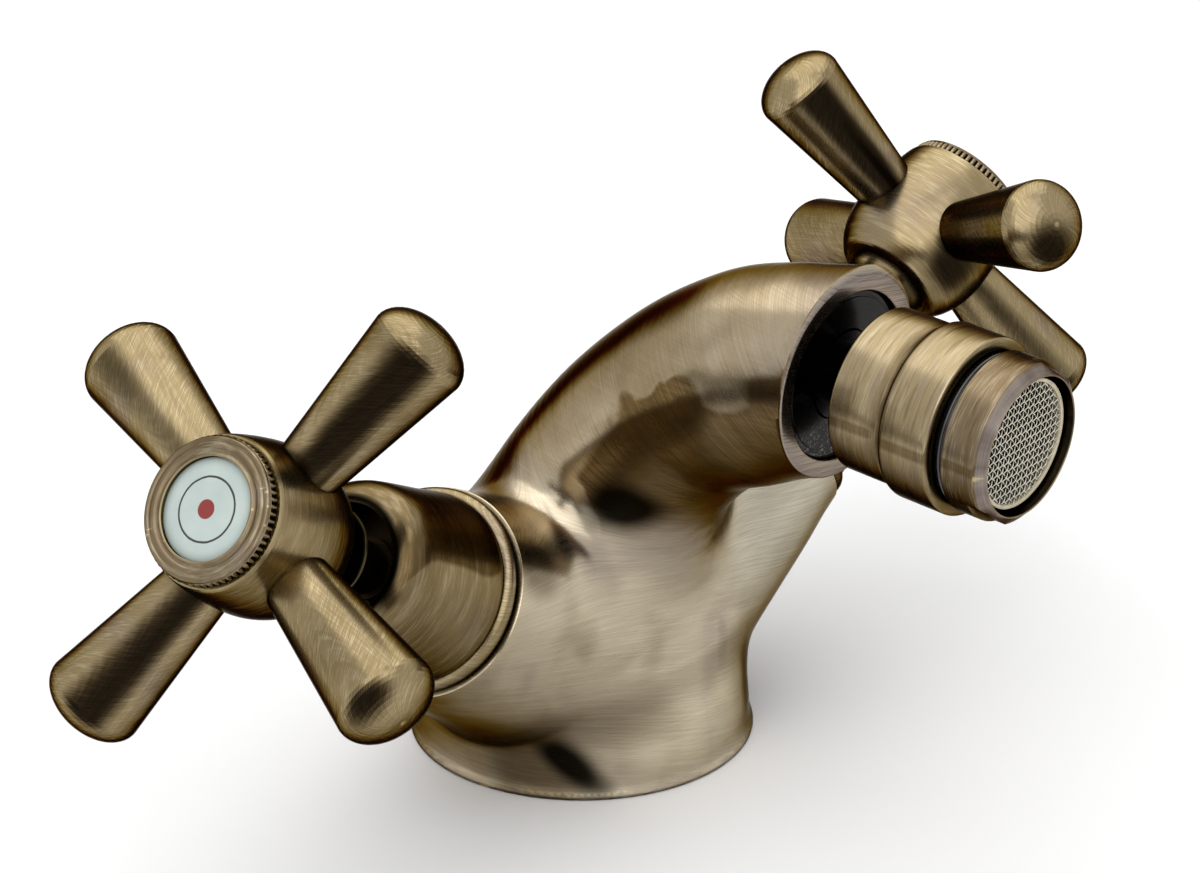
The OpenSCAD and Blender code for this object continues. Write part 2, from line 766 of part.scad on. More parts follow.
// Outline of the hub: a ringed neck, a rounded rear, a full middle and a shoulder under the cap
function hub_outline() =
    let (front = cap_face_at - cap_len, rear = front - hub_len)
    concat([[0, rear]],
           arc(hub_neck_r, rear + neck_ring_r, neck_ring_r, -90, 90, 6),
           [[hub_neck_r, rear + hub_shares[0][0] * hub_len]],
           smooth_line([for (s = hub_shares) [s[1] * hub_r, rear + s[0] * hub_len]], 3),
           [[0, front]]);
// Distance from the rear and radius of the hub, as shares of its length and greatest radius
hub_shares = [[0.26, 0.69], [0.266, 0.735], [0.283, 0.775], [0.334, 0.86], [0.403, 0.93], [0.474, 0.975],
              [0.57, 1], [0.676, 0.992], [0.812, 0.958], [0.956, 0.9], [1, 0.865]];
// Section radius of the ring round the end of the neck
neck_ring_r = 0.6;

module arm() {
    body_end = arm_reach - arm_dome;
    rotate_extrude() polygon(concat(
        [[0, 0], [arm_root_r, 0], [arm_root_r, hub_r * arm_from_share]],
        dome(arm_tip_r, body_end, arm_dome, 12)));
}
arm_from_share = 0.6;

module cross_handle(turn) {
    front = cap_face_at - cap_len;
    rear = front - hub_len;
    color(bronze) difference() {
        union() {
            rotate_extrude() polygon(hub_outline());
            for (a = [0 : 90 : 270]) rotate([0, 0, turn + a])
                translate([0, 0, arms_at]) rotate([0, 90, 0]) arm();
        }
        translate([0, 0, rear - overrun])
            cylinder(r = spindle_r + screwed, h = spindle_end - rear + overrun + running);
        translate([0, 0, rear]) cylinder(r = screw_r + screwed, h = hub_len);
        translate([0, 0, front - cap_spigot_len - screw_head_len])
            cylinder(r = cap_spigot_r + screwed, h = cap_spigot_len + screw_head_len + overrun);
    }
}
screw_head_len = 3.4;
screw_head_r = 3.6;

module handle_screw() {
    head_at = cap_face_at - cap_len - cap_spigot_len - screw_head_len;
    color(steel) difference() {
        union() {
            translate([0, 0, head_at]) cylinder(r = screw_head_r, h = screw_head_len * head_share);
            translate([0, 0, spindle_end - screw_bite + overrun])
                cylinder(r = screw_r, h = head_at - spindle_end + screw_bite);
        }
        translate([0, 0, head_at + screw_head_len * head_share / 2])
            cylinder(r = screw_r / cos(30), h = screw_head_len, $fn = 6);
    }
}
head_share = 0.8;

// Knurled ring with a window, its threaded spigot behind it
module index_ring() {
    front = cap_face_at;
    color(bronze) difference() {
        union() {
            translate([0, 0, front - cap_rim_len])
                cylinder(r1 = cap_r - knurl_depth / 2, r2 = cap_r - knurl_depth - cap_rim_len / 2, h = cap_rim_len);
            translate([0, 0, front - cap_len + knurl_gap]) linear_extrude(cap_len - knurl_gap - cap_rim_len)
                polygon([for (i = [0 : 2 * knurl_teeth - 1])
                    let (r = i % 2 == 0 ? cap_r : cap_r - knurl_depth, a = 180 * i / knurl_teeth)
                    [r * cos(a), r * sin(a)]]);
            translate([0, 0, front - cap_len - cap_spigot_len])
                cylinder(r = cap_spigot_r, h = cap_spigot_len + overrun);
        }
        translate([0, 0, front - cap_len - cap_spigot_len - overrun])
            cylinder(r = porcelain_r + running, h = cap_len + cap_spigot_len + overrun - window_lip);
        translate([0, 0, front - overrun - window_lip]) cylinder(r = window_r, h = window_lip + 2 * overrun);
    }
}
knurl_gap = 0.05;
cap_rim_len = 0.7;
window_lip = 0.6;

module index_disc() {
    color(porcelain) translate([0, 0, cap_face_at - window_lip - running - porcelain_len])
        cylinder(r = porcelain_r, h = porcelain_len);
}

// Root
body();
base_seal();
outlet_insert();
insert_seal();
ball_stud();

// Swivel
ball_seat();
swivel_ring();
swivel_housing();
aerator_washer();
aerator_body();
aerator_cartridge();
outlet_screen();
aerator_seal();

// Hot side
on_horn(HOT) headwork(HOT);  // headwork_hot
on_horn(HOT) headwork_washer();  // headwork_washer_hot
on_horn(HOT) valve_seal();  // valve_seal_hot
on_horn(HOT) ceramic_disc(disc_joint() - disc_len, 0);  // fixed_disc_hot
on_horn(HOT) shroud();  // shroud_hot
on_horn(HOT) ceramic_disc(disc_joint() + running, valve_turn);  // moving_disc_hot
on_horn(HOT) spindle();  // spindle_hot
on_horn(HOT) spindle_seals();  // spindle_seals_hot
on_horn(HOT) spindle_clip();  // spindle_clip_hot
on_horn(HOT) cross_handle(hot_arms_angle);  // cross_handle_hot
on_horn(HOT) handle_screw();  // handle_screw_hot
on_horn(HOT) index_ring();  // index_ring_hot
on_horn(HOT) index_disc();  // index_disc_hot

// Cold side
on_horn(COLD) headwork(COLD);  // headwork_cold
on_horn(COLD) headwork_washer();  // headwork_washer_cold
on_horn(COLD) valve_seal();  // valve_seal_cold
on_horn(COLD) ceramic_disc(disc_joint() - disc_len, 0);  // fixed_disc_cold
on_horn(COLD) shroud();  // shroud_cold
on_horn(COLD) ceramic_disc(disc_joint() + running, valve_turn);  // moving_disc_cold
on_horn(COLD) spindle();  // spindle_cold
on_horn(COLD) spindle_seals();  // spindle_seals_cold
on_horn(COLD) spindle_clip();  // spindle_clip_cold
on_horn(COLD) cross_handle(cold_arms_angle);  // cross_handle_cold
on_horn(COLD) handle_screw();  // handle_screw_cold
on_horn(COLD) index_ring();  // index_ring_cold
on_horn(COLD) index_disc();  // index_disc_cold
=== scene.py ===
"""Two-handle bidet mixer tap in brushed antique bronze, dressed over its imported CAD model."""
from functools import partial
from math import cos, pi, radians, sin, sqrt

import bmesh
import bpy
import numpy as np
from mathutils import Matrix, Vector


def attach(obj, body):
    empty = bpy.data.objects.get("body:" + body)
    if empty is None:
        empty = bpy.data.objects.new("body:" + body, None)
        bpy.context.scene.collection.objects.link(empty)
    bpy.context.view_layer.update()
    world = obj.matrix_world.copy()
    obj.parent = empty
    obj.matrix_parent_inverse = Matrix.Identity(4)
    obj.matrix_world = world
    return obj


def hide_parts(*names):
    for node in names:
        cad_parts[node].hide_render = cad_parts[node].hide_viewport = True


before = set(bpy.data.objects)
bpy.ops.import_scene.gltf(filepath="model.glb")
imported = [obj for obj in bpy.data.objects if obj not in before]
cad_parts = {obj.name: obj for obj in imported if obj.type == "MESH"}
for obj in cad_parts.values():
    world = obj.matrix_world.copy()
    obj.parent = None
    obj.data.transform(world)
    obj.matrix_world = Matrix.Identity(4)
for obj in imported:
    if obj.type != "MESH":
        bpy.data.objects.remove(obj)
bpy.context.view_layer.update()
MM = 0.001
COLLECTION = bpy.context.scene.collection

# Places that the part's source also names, in millimetres and degrees; -X is the hot side
HORN_ROOT_Z = 13.1
HORN_RISE = 33.0
HORN_LEAN = 6.2
HORN_REACH = 51.85
OUTLET_REACH = 53.45
OUTLET_H = 76.3
OUTLET_DROP = 3.5
ARMS_AT = 45.1
HOT, COLD = -1, 1
SIDES = {HOT: "hot", COLD: "cold"}
ARMS_ANGLE = {HOT: 60.4, COLD: 66.0}


# Frames of the handles and the outlet: local +Z points outward

def handle_frame(side):
    turn = pi + radians(HORN_LEAN) if side == HOT else -radians(HORN_LEAN)
    return (Matrix.Translation((0, 0, HORN_ROOT_Z * MM)) @ Matrix.Rotation(turn, 4, "Z")
            @ Matrix.Rotation(radians(90 - HORN_RISE), 4, "Y")
            @ Matrix.Translation((0, 0, HORN_REACH * MM)))


def outlet_frame():
    return (Matrix.Translation((0, -OUTLET_REACH * MM, OUTLET_H * MM))
            @ Matrix.Rotation(radians(90 + OUTLET_DROP), 4, "X"))


# Node helpers

class Nodes:
    """The node tree of a material or a world, with short calls for nodes and links."""

    def __init__(self, owner):
        owner.use_nodes = True
        self.owner = owner
        self.tree = owner.node_tree
        self.shader = self.tree.nodes.get("Principled BSDF")

    def set(self, socket, value):
        if isinstance(value, bpy.types.NodeSocket):
            self.tree.links.new(value, socket)
        else:
            socket.default_value = value

    def add(self, kind, values=None, **settings):
        node = self.tree.nodes.new(kind)
        for key, value in settings.items():
            setattr(node, key, value)
        for key, value in (values or {}).items():
            self.set(node.inputs[key], value)
        return node

    def ramp(self, factor, stops):
        node = self.add("ShaderNodeValToRGB", {"Fac": factor})
        ramp = node.color_ramp
        while len(ramp.elements) < len(stops):
            ramp.elements.new(0.5)
        for element, (place, colour) in zip(ramp.elements, stops):
            element.position = place
            element.color = (*colour, 1)
        return node.outputs["Color"]

    def mix(self, factor, a, b):
        values = {0: factor}
        for place, value in ((6, a), (7, b)):
            values[place] = value if isinstance(value, bpy.types.NodeSocket) else (*value, 1)
        return self.add("ShaderNodeMix", values, data_type="RGBA").outputs[2]

    def maths(self, operation, a, b=0.0):
        return self.add("ShaderNodeMath", {0: a, 1: b}, operation=operation).outputs[0]

    def surface(self, **values):
        """Sets the shader's own sockets; an underscore in a name stands for a space."""
        for name, value in values.items():
            self.set(self.shader.inputs[name.replace("_", " ")], value)

    def bump(self, height, strength, depth):
        node = self.add("ShaderNodeBump", {"Height": height, "Strength": strength, "Distance": depth})
        self.surface(Normal=node.outputs[0])


def material_nodes(name):
    return Nodes(bpy.data.materials.new(name))


def chained(n, operation, values):
    out = values[0]
    for value in values[1:]:
        out = n.maths(operation, out, value)
    return out


def times(n, *values):
    return chained(n, "MULTIPLY", values)


def plus(n, *values):
    return chained(n, "ADD", values)


def highest(n, *values):
    return chained(n, "MAXIMUM", values)


def centred(n, value, amount):
    """A noise that lies about 0.5, moved to lie about 0 and scaled."""
    return times(n, n.maths("SUBTRACT", value, 0.5), amount)


def step_between(n, value, low, high):
    """Smooth step of a value from 0 at low to 1 at high."""
    return n.add("ShaderNodeMapRange", {"Value": value, "From Min": low, "From Max": high},
                 interpolation_type="SMOOTHSTEP").outputs[0]


def ranged(n, value, low, high, to_low, to_high):
    return n.add("ShaderNodeMapRange", {"Value": value, "From Min": low, "From Max": high,
                                        "To Min": to_low, "To Max": to_high}).outputs[0]


def split(n, vector):
    return n.add("ShaderNodeSeparateXYZ", {"Vector": vector}).outputs


def joined(n, x=0.0, y=0.0, z=0.0):
    return n.add("ShaderNodeCombineXYZ", {"X": x, "Y": y, "Z": z}).outputs[0]


def moved(n, vector, offset):
    """A vector with an offset added."""
    return n.add("ShaderNodeVectorMath", {0: vector, 1: offset}).outputs[0]


def scaled(n, vector, factors):
    return n.add("ShaderNodeVectorMath", {0: vector, 1: factors}, operation="MULTIPLY").outputs[0]


def toward(n, normal, direction):
    """1 where a surface faces the direction, -1 where it faces away."""
    return n.add("ShaderNodeVectorMath", {0: normal, 1: direction}, operation="DOT_PRODUCT").outputs["Value"]


def off_axis(n, x, y):
    return n.maths("SQRT", plus(n, times(n, x, x), times(n, y, y)))


def noise(n, vector, scale, detail=2.0, distortion=0.0, roughness=0.5):
    return n.add("ShaderNodeTexNoise", {"Vector": vector, "Scale": scale, "Detail": detail,
                                        "Distortion": distortion, "Roughness": roughness}).outputs["Fac"]


def object_place(n):
    return n.add("ShaderNodeTexCoord").outputs["Object"]


def local_place(n, matrix):
    """Position in the frame of a turned piece, in metres."""
    inverse = matrix.inverted()
    return n.add("ShaderNodeMapping", {"Vector": object_place(n), "Location": inverse.to_translation(),
                                       "Rotation": inverse.to_euler()}).outputs["Vector"]


def stretched(n, vector, turn, scale):
    """Coordinates that stretch a noise into straight scratches along one direction."""
    return n.add("ShaderNodeMapping", {"Vector": vector, "Rotation": turn, "Scale": scale}).outputs["Vector"]


def round_axis(n, angle, reach, height):
    """Coordinates on a cylinder; a small reach draws a noise out into long streaks round it."""
    return joined(n, *(times(n, n.maths(way, angle), reach) for way in ("COSINE", "SINE")), height)


def srgb(r, g, b):
    """Linear colour from 0-255 values."""
    return tuple(c / 12.92 if c <= 0.04045 else ((c + 0.055) / 1.055) ** 2.4
                 for c in (r / 255, g / 255, b / 255))


# Antique bronze: fine scratches over a mottled patina, with painted light and shade on top, dark in the
# hollows, bright on the edges
PALE = srgb(200, 190, 164)
# Pale for a painted highlight on the casting's front
PAINTED_HIGHLIGHT = srgb(228, 216, 184)
COOL = srgb(158, 155, 138)
COOL_PALE = srgb(196, 194, 180)
MAUVE = srgb(132, 120, 118)
GREY_DARK = srgb(96, 86, 82)
GREY = srgb(150, 140, 134)
EDGE = srgb(196, 178, 132)
WARM = srgb(116, 92, 52)
WARM_DARK = srgb(54, 39, 15)
BROWN = srgb(84, 66, 38)
DARK = srgb(30, 22, 12)
# Near black for painted shade: the middle of the dark bands and the dark outlines
PAINTED_SHADE_DARK = srgb(16, 12, 8)
BLACK = srgb(10, 8, 5)
# Painted light and shade: tones from the far side of a piece to the side that faces the light
TONE_STOPS = (0.3, 0.6, 0.88)
BODY_TONES = (srgb(90, 72, 42), srgb(150, 133, 105), srgb(200, 188, 166))
HANDLE_TONES = (srgb(56, 43, 20), srgb(102, 84, 52), srgb(156, 139, 104))
SWIVEL_TONES = (srgb(74, 60, 36), srgb(120, 102, 72), srgb(164, 148, 116))
CAP_TONES = (srgb(62, 50, 33), srgb(94, 80, 58), srgb(130, 115, 92))
AERATOR_TONES = (srgb(56, 45, 30), srgb(88, 73, 52), srgb(130, 113, 88))
# Directions that stand for the photo's light, 13 and 25 degrees from the direction to its camera
LIT_SIDE = (-0.62, -0.52, 0.59)
BODY_LIT_SIDE = (-0.33, -0.85, 0.41)
# The direction to the photo's camera, typed in. The colour is painted darker where a surface turns away from
# it, a painted shade which puts dark rims on the outlines of the photo's own view. That is an open fault.
PHOTO_CAMERA_SIDE = (-0.69, -0.60, 0.40)
# Directions in which the pieces carry a dark band, after reflections in the photo: 13 to 35 degrees from
# the direction to its camera, with the handles at rest. Then how far a surface faces them where the band
# starts and is full
SHADE_SIDE = (-0.42, -0.90, -0.05)
SHADE_FROM = (0.68, 0.92)
HANDLE_SHADE_SIDES = {HOT: (-0.79, -0.58, 0.20), COLD: (-0.45, -0.88, 0.0)}
HANDLE_SHADES = {HOT: (0.79, 0.95), COLD: (0.82, 0.97)}
BAND_CORE = (0.9, 0.985)
# Heights on the handles' axes, in metres, below which the hub's rear is painted dark, as shade
HUB_DARK_BELOW = {HOT: 0.0362, COLD: 0.0335}

# Scratches: lengths in metres, and how far noises are drawn out along and across them
NOISE_SPAN = (0.3, 0.7)
PITCH = 0.00014
RADIUS_SHARE = 0.9
TURNED_REACH, ARM_REACH, TONE_REACH = 4.0, 3.0, 1.3
BAND_STRETCH = (0.4, 0.4, 0.13)
TONE_ACROSS = 900.0
CROSS_TURN, CROSS_SCALE = (0.5, 0.9, 0.3), (140.0, 140.0, 6500.0)
FINE_SHARE = 0.62
MAIN_SHARE = 0.72
ARM_SLANT = 0.006
HUB_EDGE = (0.0125, 0.0145)
CAST_ALONG, CAST_ACROSS = 80.0, 7000.0
SPOUT_Z = (0.028, 0.062)


def turned_scratches(n, local, pitch=PITCH):
    """Scratches round local Z, fine ones and broad bands; a share of the radius marks the end faces too."""
    x, y, z = split(n, local)
    height = times(n, plus(n, z, times(n, off_axis(n, x, y), RADIUS_SHARE)), 1 / pitch)
    at = round_axis(n, n.maths("ARCTAN2", y, x), TURNED_REACH, height)
    fine = noise(n, at, 1.0, 2.0, 0.0, 0.6)
    bands = noise(n, stretched(n, at, (0, 0, 0), BAND_STRETCH), 1.0, 1.0)
    return plus(n, times(n, fine, FINE_SHARE), times(n, bands, 1 - FINE_SHARE))


def arm_scratches(n, local, arms_angle):
    """Scratches that wind slantwise round the four arms, and round local Z on the hub."""
    x, y, z = split(n, local)
    radius = off_axis(n, x, y)
    angle = plus(n, n.maths("ARCTAN2", y, x), 2 * pi + pi / 4 - radians(arms_angle))
    folded = n.maths("SUBTRACT", n.maths("MODULO", angle, pi / 2), pi / 4)
    across = times(n, radius, n.maths("SINE", folded))
    along = times(n, radius, n.maths("COSINE", folded))
    round_arm = n.maths("ARCTAN2", across, n.maths("SUBTRACT", z, ARMS_AT * MM))
    wound = plus(n, along, times(n, round_arm, ARM_SLANT))
    lines = noise(n, round_axis(n, round_arm, ARM_REACH, times(n, wound, 1 / PITCH)), 1.0, 2.0, 0.0, 0.6)
    on_arm = step_between(n, radius, *HUB_EDGE)
    return n.add("ShaderNodeMix", {0: on_arm, 2: turned_scratches(n, local), 3: lines}).outputs[0]


def cast_scratches(n, local):
    """Scratches round the spout and across the front of the casting."""
    x, y, z = split(n, local)
    on_spout = step_between(n, z, *SPOUT_Z)
    height = n.maths("SUBTRACT", z, times(n, y, on_spout, 1.1))
    slant = plus(n, height, times(n, x, 0.22))
    at = joined(n, times(n, x, CAST_ALONG), times(n, y, CAST_ALONG), times(n, slant, CAST_ACROSS))
    return noise(n, at, 1.0, 2.0, 0.0, 0.6)


def turned_bands(n, local):
    """Broad streaks of another tone round local Z."""
    x, y, z = split(n, local)
    return noise(n, round_axis(n, n.maths("ARCTAN2", y, x), TONE_REACH, times(n, z, TONE_ACROSS)), 1.0)


def patches(n, local):
    """Soft patches of another tone."""
    return noise(n, local, 46.0, 2.0, 0.5)


def brushing(n, local, scratches):
    """The main scratches with finer straight ones across them."""
    crossed = noise(n, stretched(n, local, CROSS_TURN, CROSS_SCALE), 1.0)
    return plus(n, times(n, scratches(n, local), MAIN_SHARE), times(n, crossed, 1 - MAIN_SHARE))


def bronze_tone(n, local, normal, lines, tones, lit_side, lined, toned):
    """Painted light and shade: pale where a piece faces the light, olive on its far side, with patches and
    scratches.
    """
    clouds = centred(n, noise(n, local, 60.0, 4.0, 0.8, 0.6), 0.45)
    lit = plus(n, times(n, toward(n, normal, lit_side), 0.5), 0.5, clouds)
    colour = n.ramp(lit, tuple(zip(TONE_STOPS, tones)))
    tone = toned(n, local)
    colour = n.mix(times(n, step_between(n, tone, 0.52, 0.68), 0.4), colour, MAUVE)
    colour = n.mix(times(n, step_between(n, tone, 0.46, 0.32), 0.35), colour, tones[0])
    return n.mix(lined, colour, n.ramp(lines, ((0.36, BROWN), (0.5, tones[1]), (0.64, PALE))))


def dark_hollows_bright_edges(n, colour):
    """Black in the hollows, a painted shade that also stands for dark patina there, and bright along the
    edges.
    """
    hollow = n.add("ShaderNodeAmbientOcclusion", {"Distance": 0.006}, samples=8).outputs["AO"]
    colour = n.mix(n.ramp(hollow, ((0.3, (1, 1, 1)), (0.75, (0, 0, 0)))), colour, BLACK)
    edges = n.add("ShaderNodeNewGeometry").outputs["Pointiness"]
    return n.mix(n.ramp(edges, ((0.53, (0, 0, 0)), (0.62, (0.6, 0.6, 0.6)))), colour, EDGE)


def bronze(name, matrix, scratches, tones, rough=0.24, shade=0.3, extra=None, face=None, rim=0.5,
           edge_tint=0.16, shade_side=SHADE_SIDE, shade_from=SHADE_FROM, core=0.0, lit_side=LIT_SIDE,
           lined=0.3, toned=patches):
    """Brushed antique bronze.

    scratches draws the main brushing and toned the patches of another tone. rim, shade and core are the
    strengths of the painted shade on the far sides, of the dark band of painted reflection and of the band's
    middle. extra lists further marks, mostly painted shade and reflections, as (mask, low colour, high
    colour), and face marks a grey end face.
    """
    n = material_nodes(name)
    local = local_place(n, matrix)
    normal = n.add("ShaderNodeTexCoord").outputs["Normal"]
    lines = brushing(n, local, scratches)
    stains = noise(n, local, 38.0, 2.5, 0.9, 0.5)
    colour = bronze_tone(n, local, normal, lines, tones, lit_side, lined, toned)
    # painted shade, darkest where a surface turns away from the photo's camera, with ragged edges
    turned = plus(n, toward(n, normal, PHOTO_CAMERA_SIDE), centred(n, stains, 0.2))
    far = times(n, step_between(n, turned, 0.58, 0.2), step_between(n, turned, -0.45, -0.1), rim)
    # painted reflection: a dark band where a surface faces shade_side, with dark specks that are stains
    band = plus(n, toward(n, normal, shade_side), centred(n, stains, 0.16))
    dark = highest(n, far, times(n, step_between(n, band, *shade_from), shade),
                   times(n, step_between(n, stains, 0.63, 0.7), 0.25))
    colour = n.mix(dark, colour, n.ramp(lines, ((0.42, DARK), (0.7, BROWN))))
    # the middle of the painted dark band is near black
    if core:
        colour = n.mix(times(n, step_between(n, band, *BAND_CORE), core), colour, PAINTED_SHADE_DARK)
    for mask, low, high in extra(n, local, normal, stains) if extra else ():
        colour = n.mix(mask, colour, n.ramp(lines, ((0.38, low), (0.64, high))))
    if face:
        colour = n.mix(face(n, local), colour, n.ramp(lines, ((0.35, GREY_DARK), (0.65, GREY))))
    shine = ranged(n, lines, *NOISE_SPAN, rough + 0.08, rough - 0.05)
    n.surface(Base_Color=dark_hollows_bright_edges(n, colour), Metallic=1.0, Roughness=shine,
              Specular_Tint=(edge_tint, edge_tint * 0.8, edge_tint * 0.55, 1))
    n.bump(lines, 0.16, 0.00003)
    return n.owner


# Spots on the casting: painted shade in the crotches, a painted reflection on the foot, a painted highlight
# on the front and a dark patch by each horn. Centres and reach in millimetres, on both sides alike
CROTCH_SPOT, CROTCH_REACH, CROTCH_SQUEEZE = (14.0, -21.0, 70.5), 10.0, (1.0, 1.0, 1.4)
HORN_SPOT, HORN_SPOT_REACH = (31.0, -17.3, 45.6), 8.0
FOOT_SPOT, FOOT_SPOT_REACH = (20.4, -16.6, 3.4), 5.2
FOOT_FADE, FOOT_FADE_REACH = (23.5, -12.0, 3.0), 13.0
FOOT_SQUEEZE = (1.0, 1.0, 0.6)
PAINTED_HIGHLIGHT_SPOT, PAINTED_HIGHLIGHT_REACH, PAINTED_HIGHLIGHT_SQUEEZE = (5.6, -26.3, 9.5), 9.0, (0.7, 1.0, 1.0)
# The foot's spot leans: its X and Y change with the height above this one, in metres
FOOT_SPOT_Z = 0.0057
FOOT_SPOT_LEAN = (-0.5, -0.58)
# Two directions square to the photo camera's line of sight, part of the same fault: up and left in its
# view, for a dark outline on the spout, and right in its view, for one on the foot
PHOTO_UPPER_LEFT = (-0.347, 0.759, 0.551)
PHOTO_RIGHT = (0.657, -0.753, 0.0)

# Where the casting's painted shade and reflections, and its cool tint, set in, from none to full: places in
# metres, then how far a surface must face
UNDER_Z, OUTER_Z = (0.042, 0.052), (0.024, 0.036)
NECK_FOOT_Z, NECK_TOP_Z, NECK_X = (0.006, 0.012), (0.021, 0.014), (0.0, -0.012)
EDGE_FOOT_Z, EDGE_TOP_Z = (0.003, 0.008), (0.026, 0.018)
COOL_X, COOL_Z = (0.004, 0.018), (0.016, 0.03)
UNDER_TILT, OUTER_FACING, EDGE_FACING, COOL_FACING = (0.14, 0.06), (0.84, 0.94), (0.935, 0.985), (0.0, 0.4)


def spot(n, place, centre, reach, amount):
    """Soft spot round a point, in millimetres."""
    away = n.add("ShaderNodeVectorMath", {0: place, 1: tuple(c * MM for c in centre)}, operation="DISTANCE")
    return times(n, step_between(n, away.outputs["Value"], reach * MM, reach * 0.35 * MM), amount)


def foot_spots(n, both, z):
    """Painted reflection: the leaning black spot on each side of the foot, and the brown fade round it."""
    low = scaled(n, both, FOOT_SQUEEZE)
    rise = n.maths("SUBTRACT", z, FOOT_SPOT_Z)
    lean = joined(n, *(times(n, rise, amount) for amount in FOOT_SPOT_LEAN))
    return (spot(n, moved(n, low, lean), FOOT_SPOT, FOOT_SPOT_REACH, 0.97),
            spot(n, low, FOOT_FADE, FOOT_FADE_REACH, 0.7))


def body_painted_light_and_shade(n, local, normal, stains):
    """Painted reflections and shade: dark under the spout, black in the crotches beside it and on the foot,
    brown in the foot's neck, dark outlines on the spout and foot; a painted highlight low on the front, a
    dark patch by each horn and a cool tint on the cold side's front.
    """
    x, y, z = split(n, local)
    normal_y, normal_z = split(n, normal)[1:3]
    wander = centred(n, stains, 1.3)
    under = times(n, step_between(n, plus(n, normal_z, wander), *UNDER_TILT),
                  step_between(n, z, *UNDER_Z), 0.86)
    both = moved(n, joined(n, n.maths("ABSOLUTE", x), y, z),
                 joined(n, times(n, wander, 0.004), 0.0, times(n, wander, 0.005)))
    hot_side = plus(n, times(n, step_between(n, x, 0.006, -0.006), 0.65), 0.32)
    crotch = spot(n, scaled(n, both, CROTCH_SQUEEZE), CROTCH_SPOT, CROTCH_REACH, hot_side)
    horn = spot(n, both, HORN_SPOT, HORN_SPOT_REACH, 0.6)
    foot, fade = foot_spots(n, both, z)
    neck = times(n, step_between(n, z, *NECK_FOOT_Z), step_between(n, z, *NECK_TOP_Z),
                 step_between(n, x, *NECK_X), 0.55)
    outer = plus(n, toward(n, normal, PHOTO_UPPER_LEFT), times(n, wander, 0.04))
    outer = times(n, step_between(n, outer, *OUTER_FACING), step_between(n, z, *OUTER_Z), 0.85)
    foot_edge = times(n, step_between(n, toward(n, normal, PHOTO_RIGHT), *EDGE_FACING),
                      step_between(n, z, *EDGE_TOP_Z), step_between(n, z, *EDGE_FOOT_Z), 0.9)
    cool = times(n, step_between(n, x, *COOL_X), step_between(n, z, *COOL_Z),
                 step_between(n, times(n, normal_y, -1.0), *COOL_FACING), 0.5)
    # a painted highlight low on the front of the casting
    front_highlight = spot(n, scaled(n, both, PAINTED_HIGHLIGHT_SQUEEZE), PAINTED_HIGHLIGHT_SPOT, PAINTED_HIGHLIGHT_REACH, 0.5)
    return [(cool, COOL, COOL_PALE), (front_highlight, PALE, PAINTED_HIGHLIGHT), (under, WARM_DARK, WARM),
            (highest(n, horn, fade, neck), WARM_DARK, BROWN), (highest(n, outer, foot_edge), PAINTED_SHADE_DARK, DARK),
            (highest(n, crotch, foot), BLACK, BLACK)]


# The same for the turned pieces: tilts of the surface, then heights and radii in metres
SHROUD_LOW_TILT, SHROUD_TOP_TILT = (0.30, 0.36), (0.86, 0.62)
SHROUD_FRONT_Z, SHROUD_INSIDE_R = (0.0168, 0.0215), (0.0108, 0.0094)
COLLAR_LOW_TILT, COLLAR_HIGH_TILT, COLLAR_UNDER_TILT = (-0.16, -0.10), (0.02, -0.03), (-0.45, -0.8)
SEAM_REAR_Z, SEAM_FRONT_Z = (0.0126, 0.0152), (0.0172, 0.0158)
COLLAR_INSIDE_R = (0.0109, 0.0106)
BEVEL_Z, BEVEL_R = (0.0322, 0.0325), (0.01075, 0.0109)
MOUTH_DEPTH = (0.0004, 0.0001)
# Depths below the start of the painted shade on the hub at which its brown is full, its black sets in and is
# full
HUB_BROWN, HUB_BLACK, HUB_BLACK_FULL = 0.0024, 0.0017, 0.0037


def shroud_painted_shade(n, local, normal, stains):
    """Painted reflection and shade: a dark upper side with a crisp lower edge, a dark rounded front and a
    black inside.
    """
    x, y, z = split(n, local)
    wander = centred(n, stains, 0.25)
    tilt = plus(n, split(n, normal)["Z"], wander)
    upper = times(n, step_between(n, tilt, *SHROUD_LOW_TILT), step_between(n, tilt, *SHROUD_TOP_TILT), 0.78)
    front = times(n, step_between(n, plus(n, z, times(n, wander, 0.01)), *SHROUD_FRONT_Z), 0.6)
    inside = step_between(n, off_axis(n, x, y), *SHROUD_INSIDE_R)
    return [(highest(n, upper, front), WARM_DARK, BROWN), (inside, BLACK, BLACK)]


def hub_painted_shade(n, local, normal, stains, below):
    """Painted shade: black on the rear of the hub and its neck."""
    ragged = plus(n, split(n, local)["Z"], centred(n, stains, 0.003))
    return [(times(n, step_between(n, ragged, below, below - HUB_BROWN), 0.8), DARK, BROWN),
            (step_between(n, ragged, below - HUB_BLACK, below - HUB_BLACK_FULL), BLACK, BLACK)]


def swivel_painted_shade(n, local, normal, stains):
    """Painted shade and reflections: black inside the collars, brown bands across them and a dark seam
    between them.
    """
    x, y, z = split(n, local)
    tilt = plus(n, split(n, normal)["Z"], centred(n, stains, 0.12))
    band = times(n, step_between(n, tilt, *COLLAR_LOW_TILT), step_between(n, tilt, *COLLAR_HIGH_TILT), 0.62)
    lower = times(n, step_between(n, tilt, *COLLAR_UNDER_TILT), 0.6)
    seam = times(n, step_between(n, z, *SEAM_REAR_Z), step_between(n, z, *SEAM_FRONT_Z), 0.75)
    inside = step_between(n, off_axis(n, x, y), *COLLAR_INSIDE_R)
    return [(highest(n, band, lower, seam), WARM_DARK, BROWN), (inside, BLACK, BLACK)]


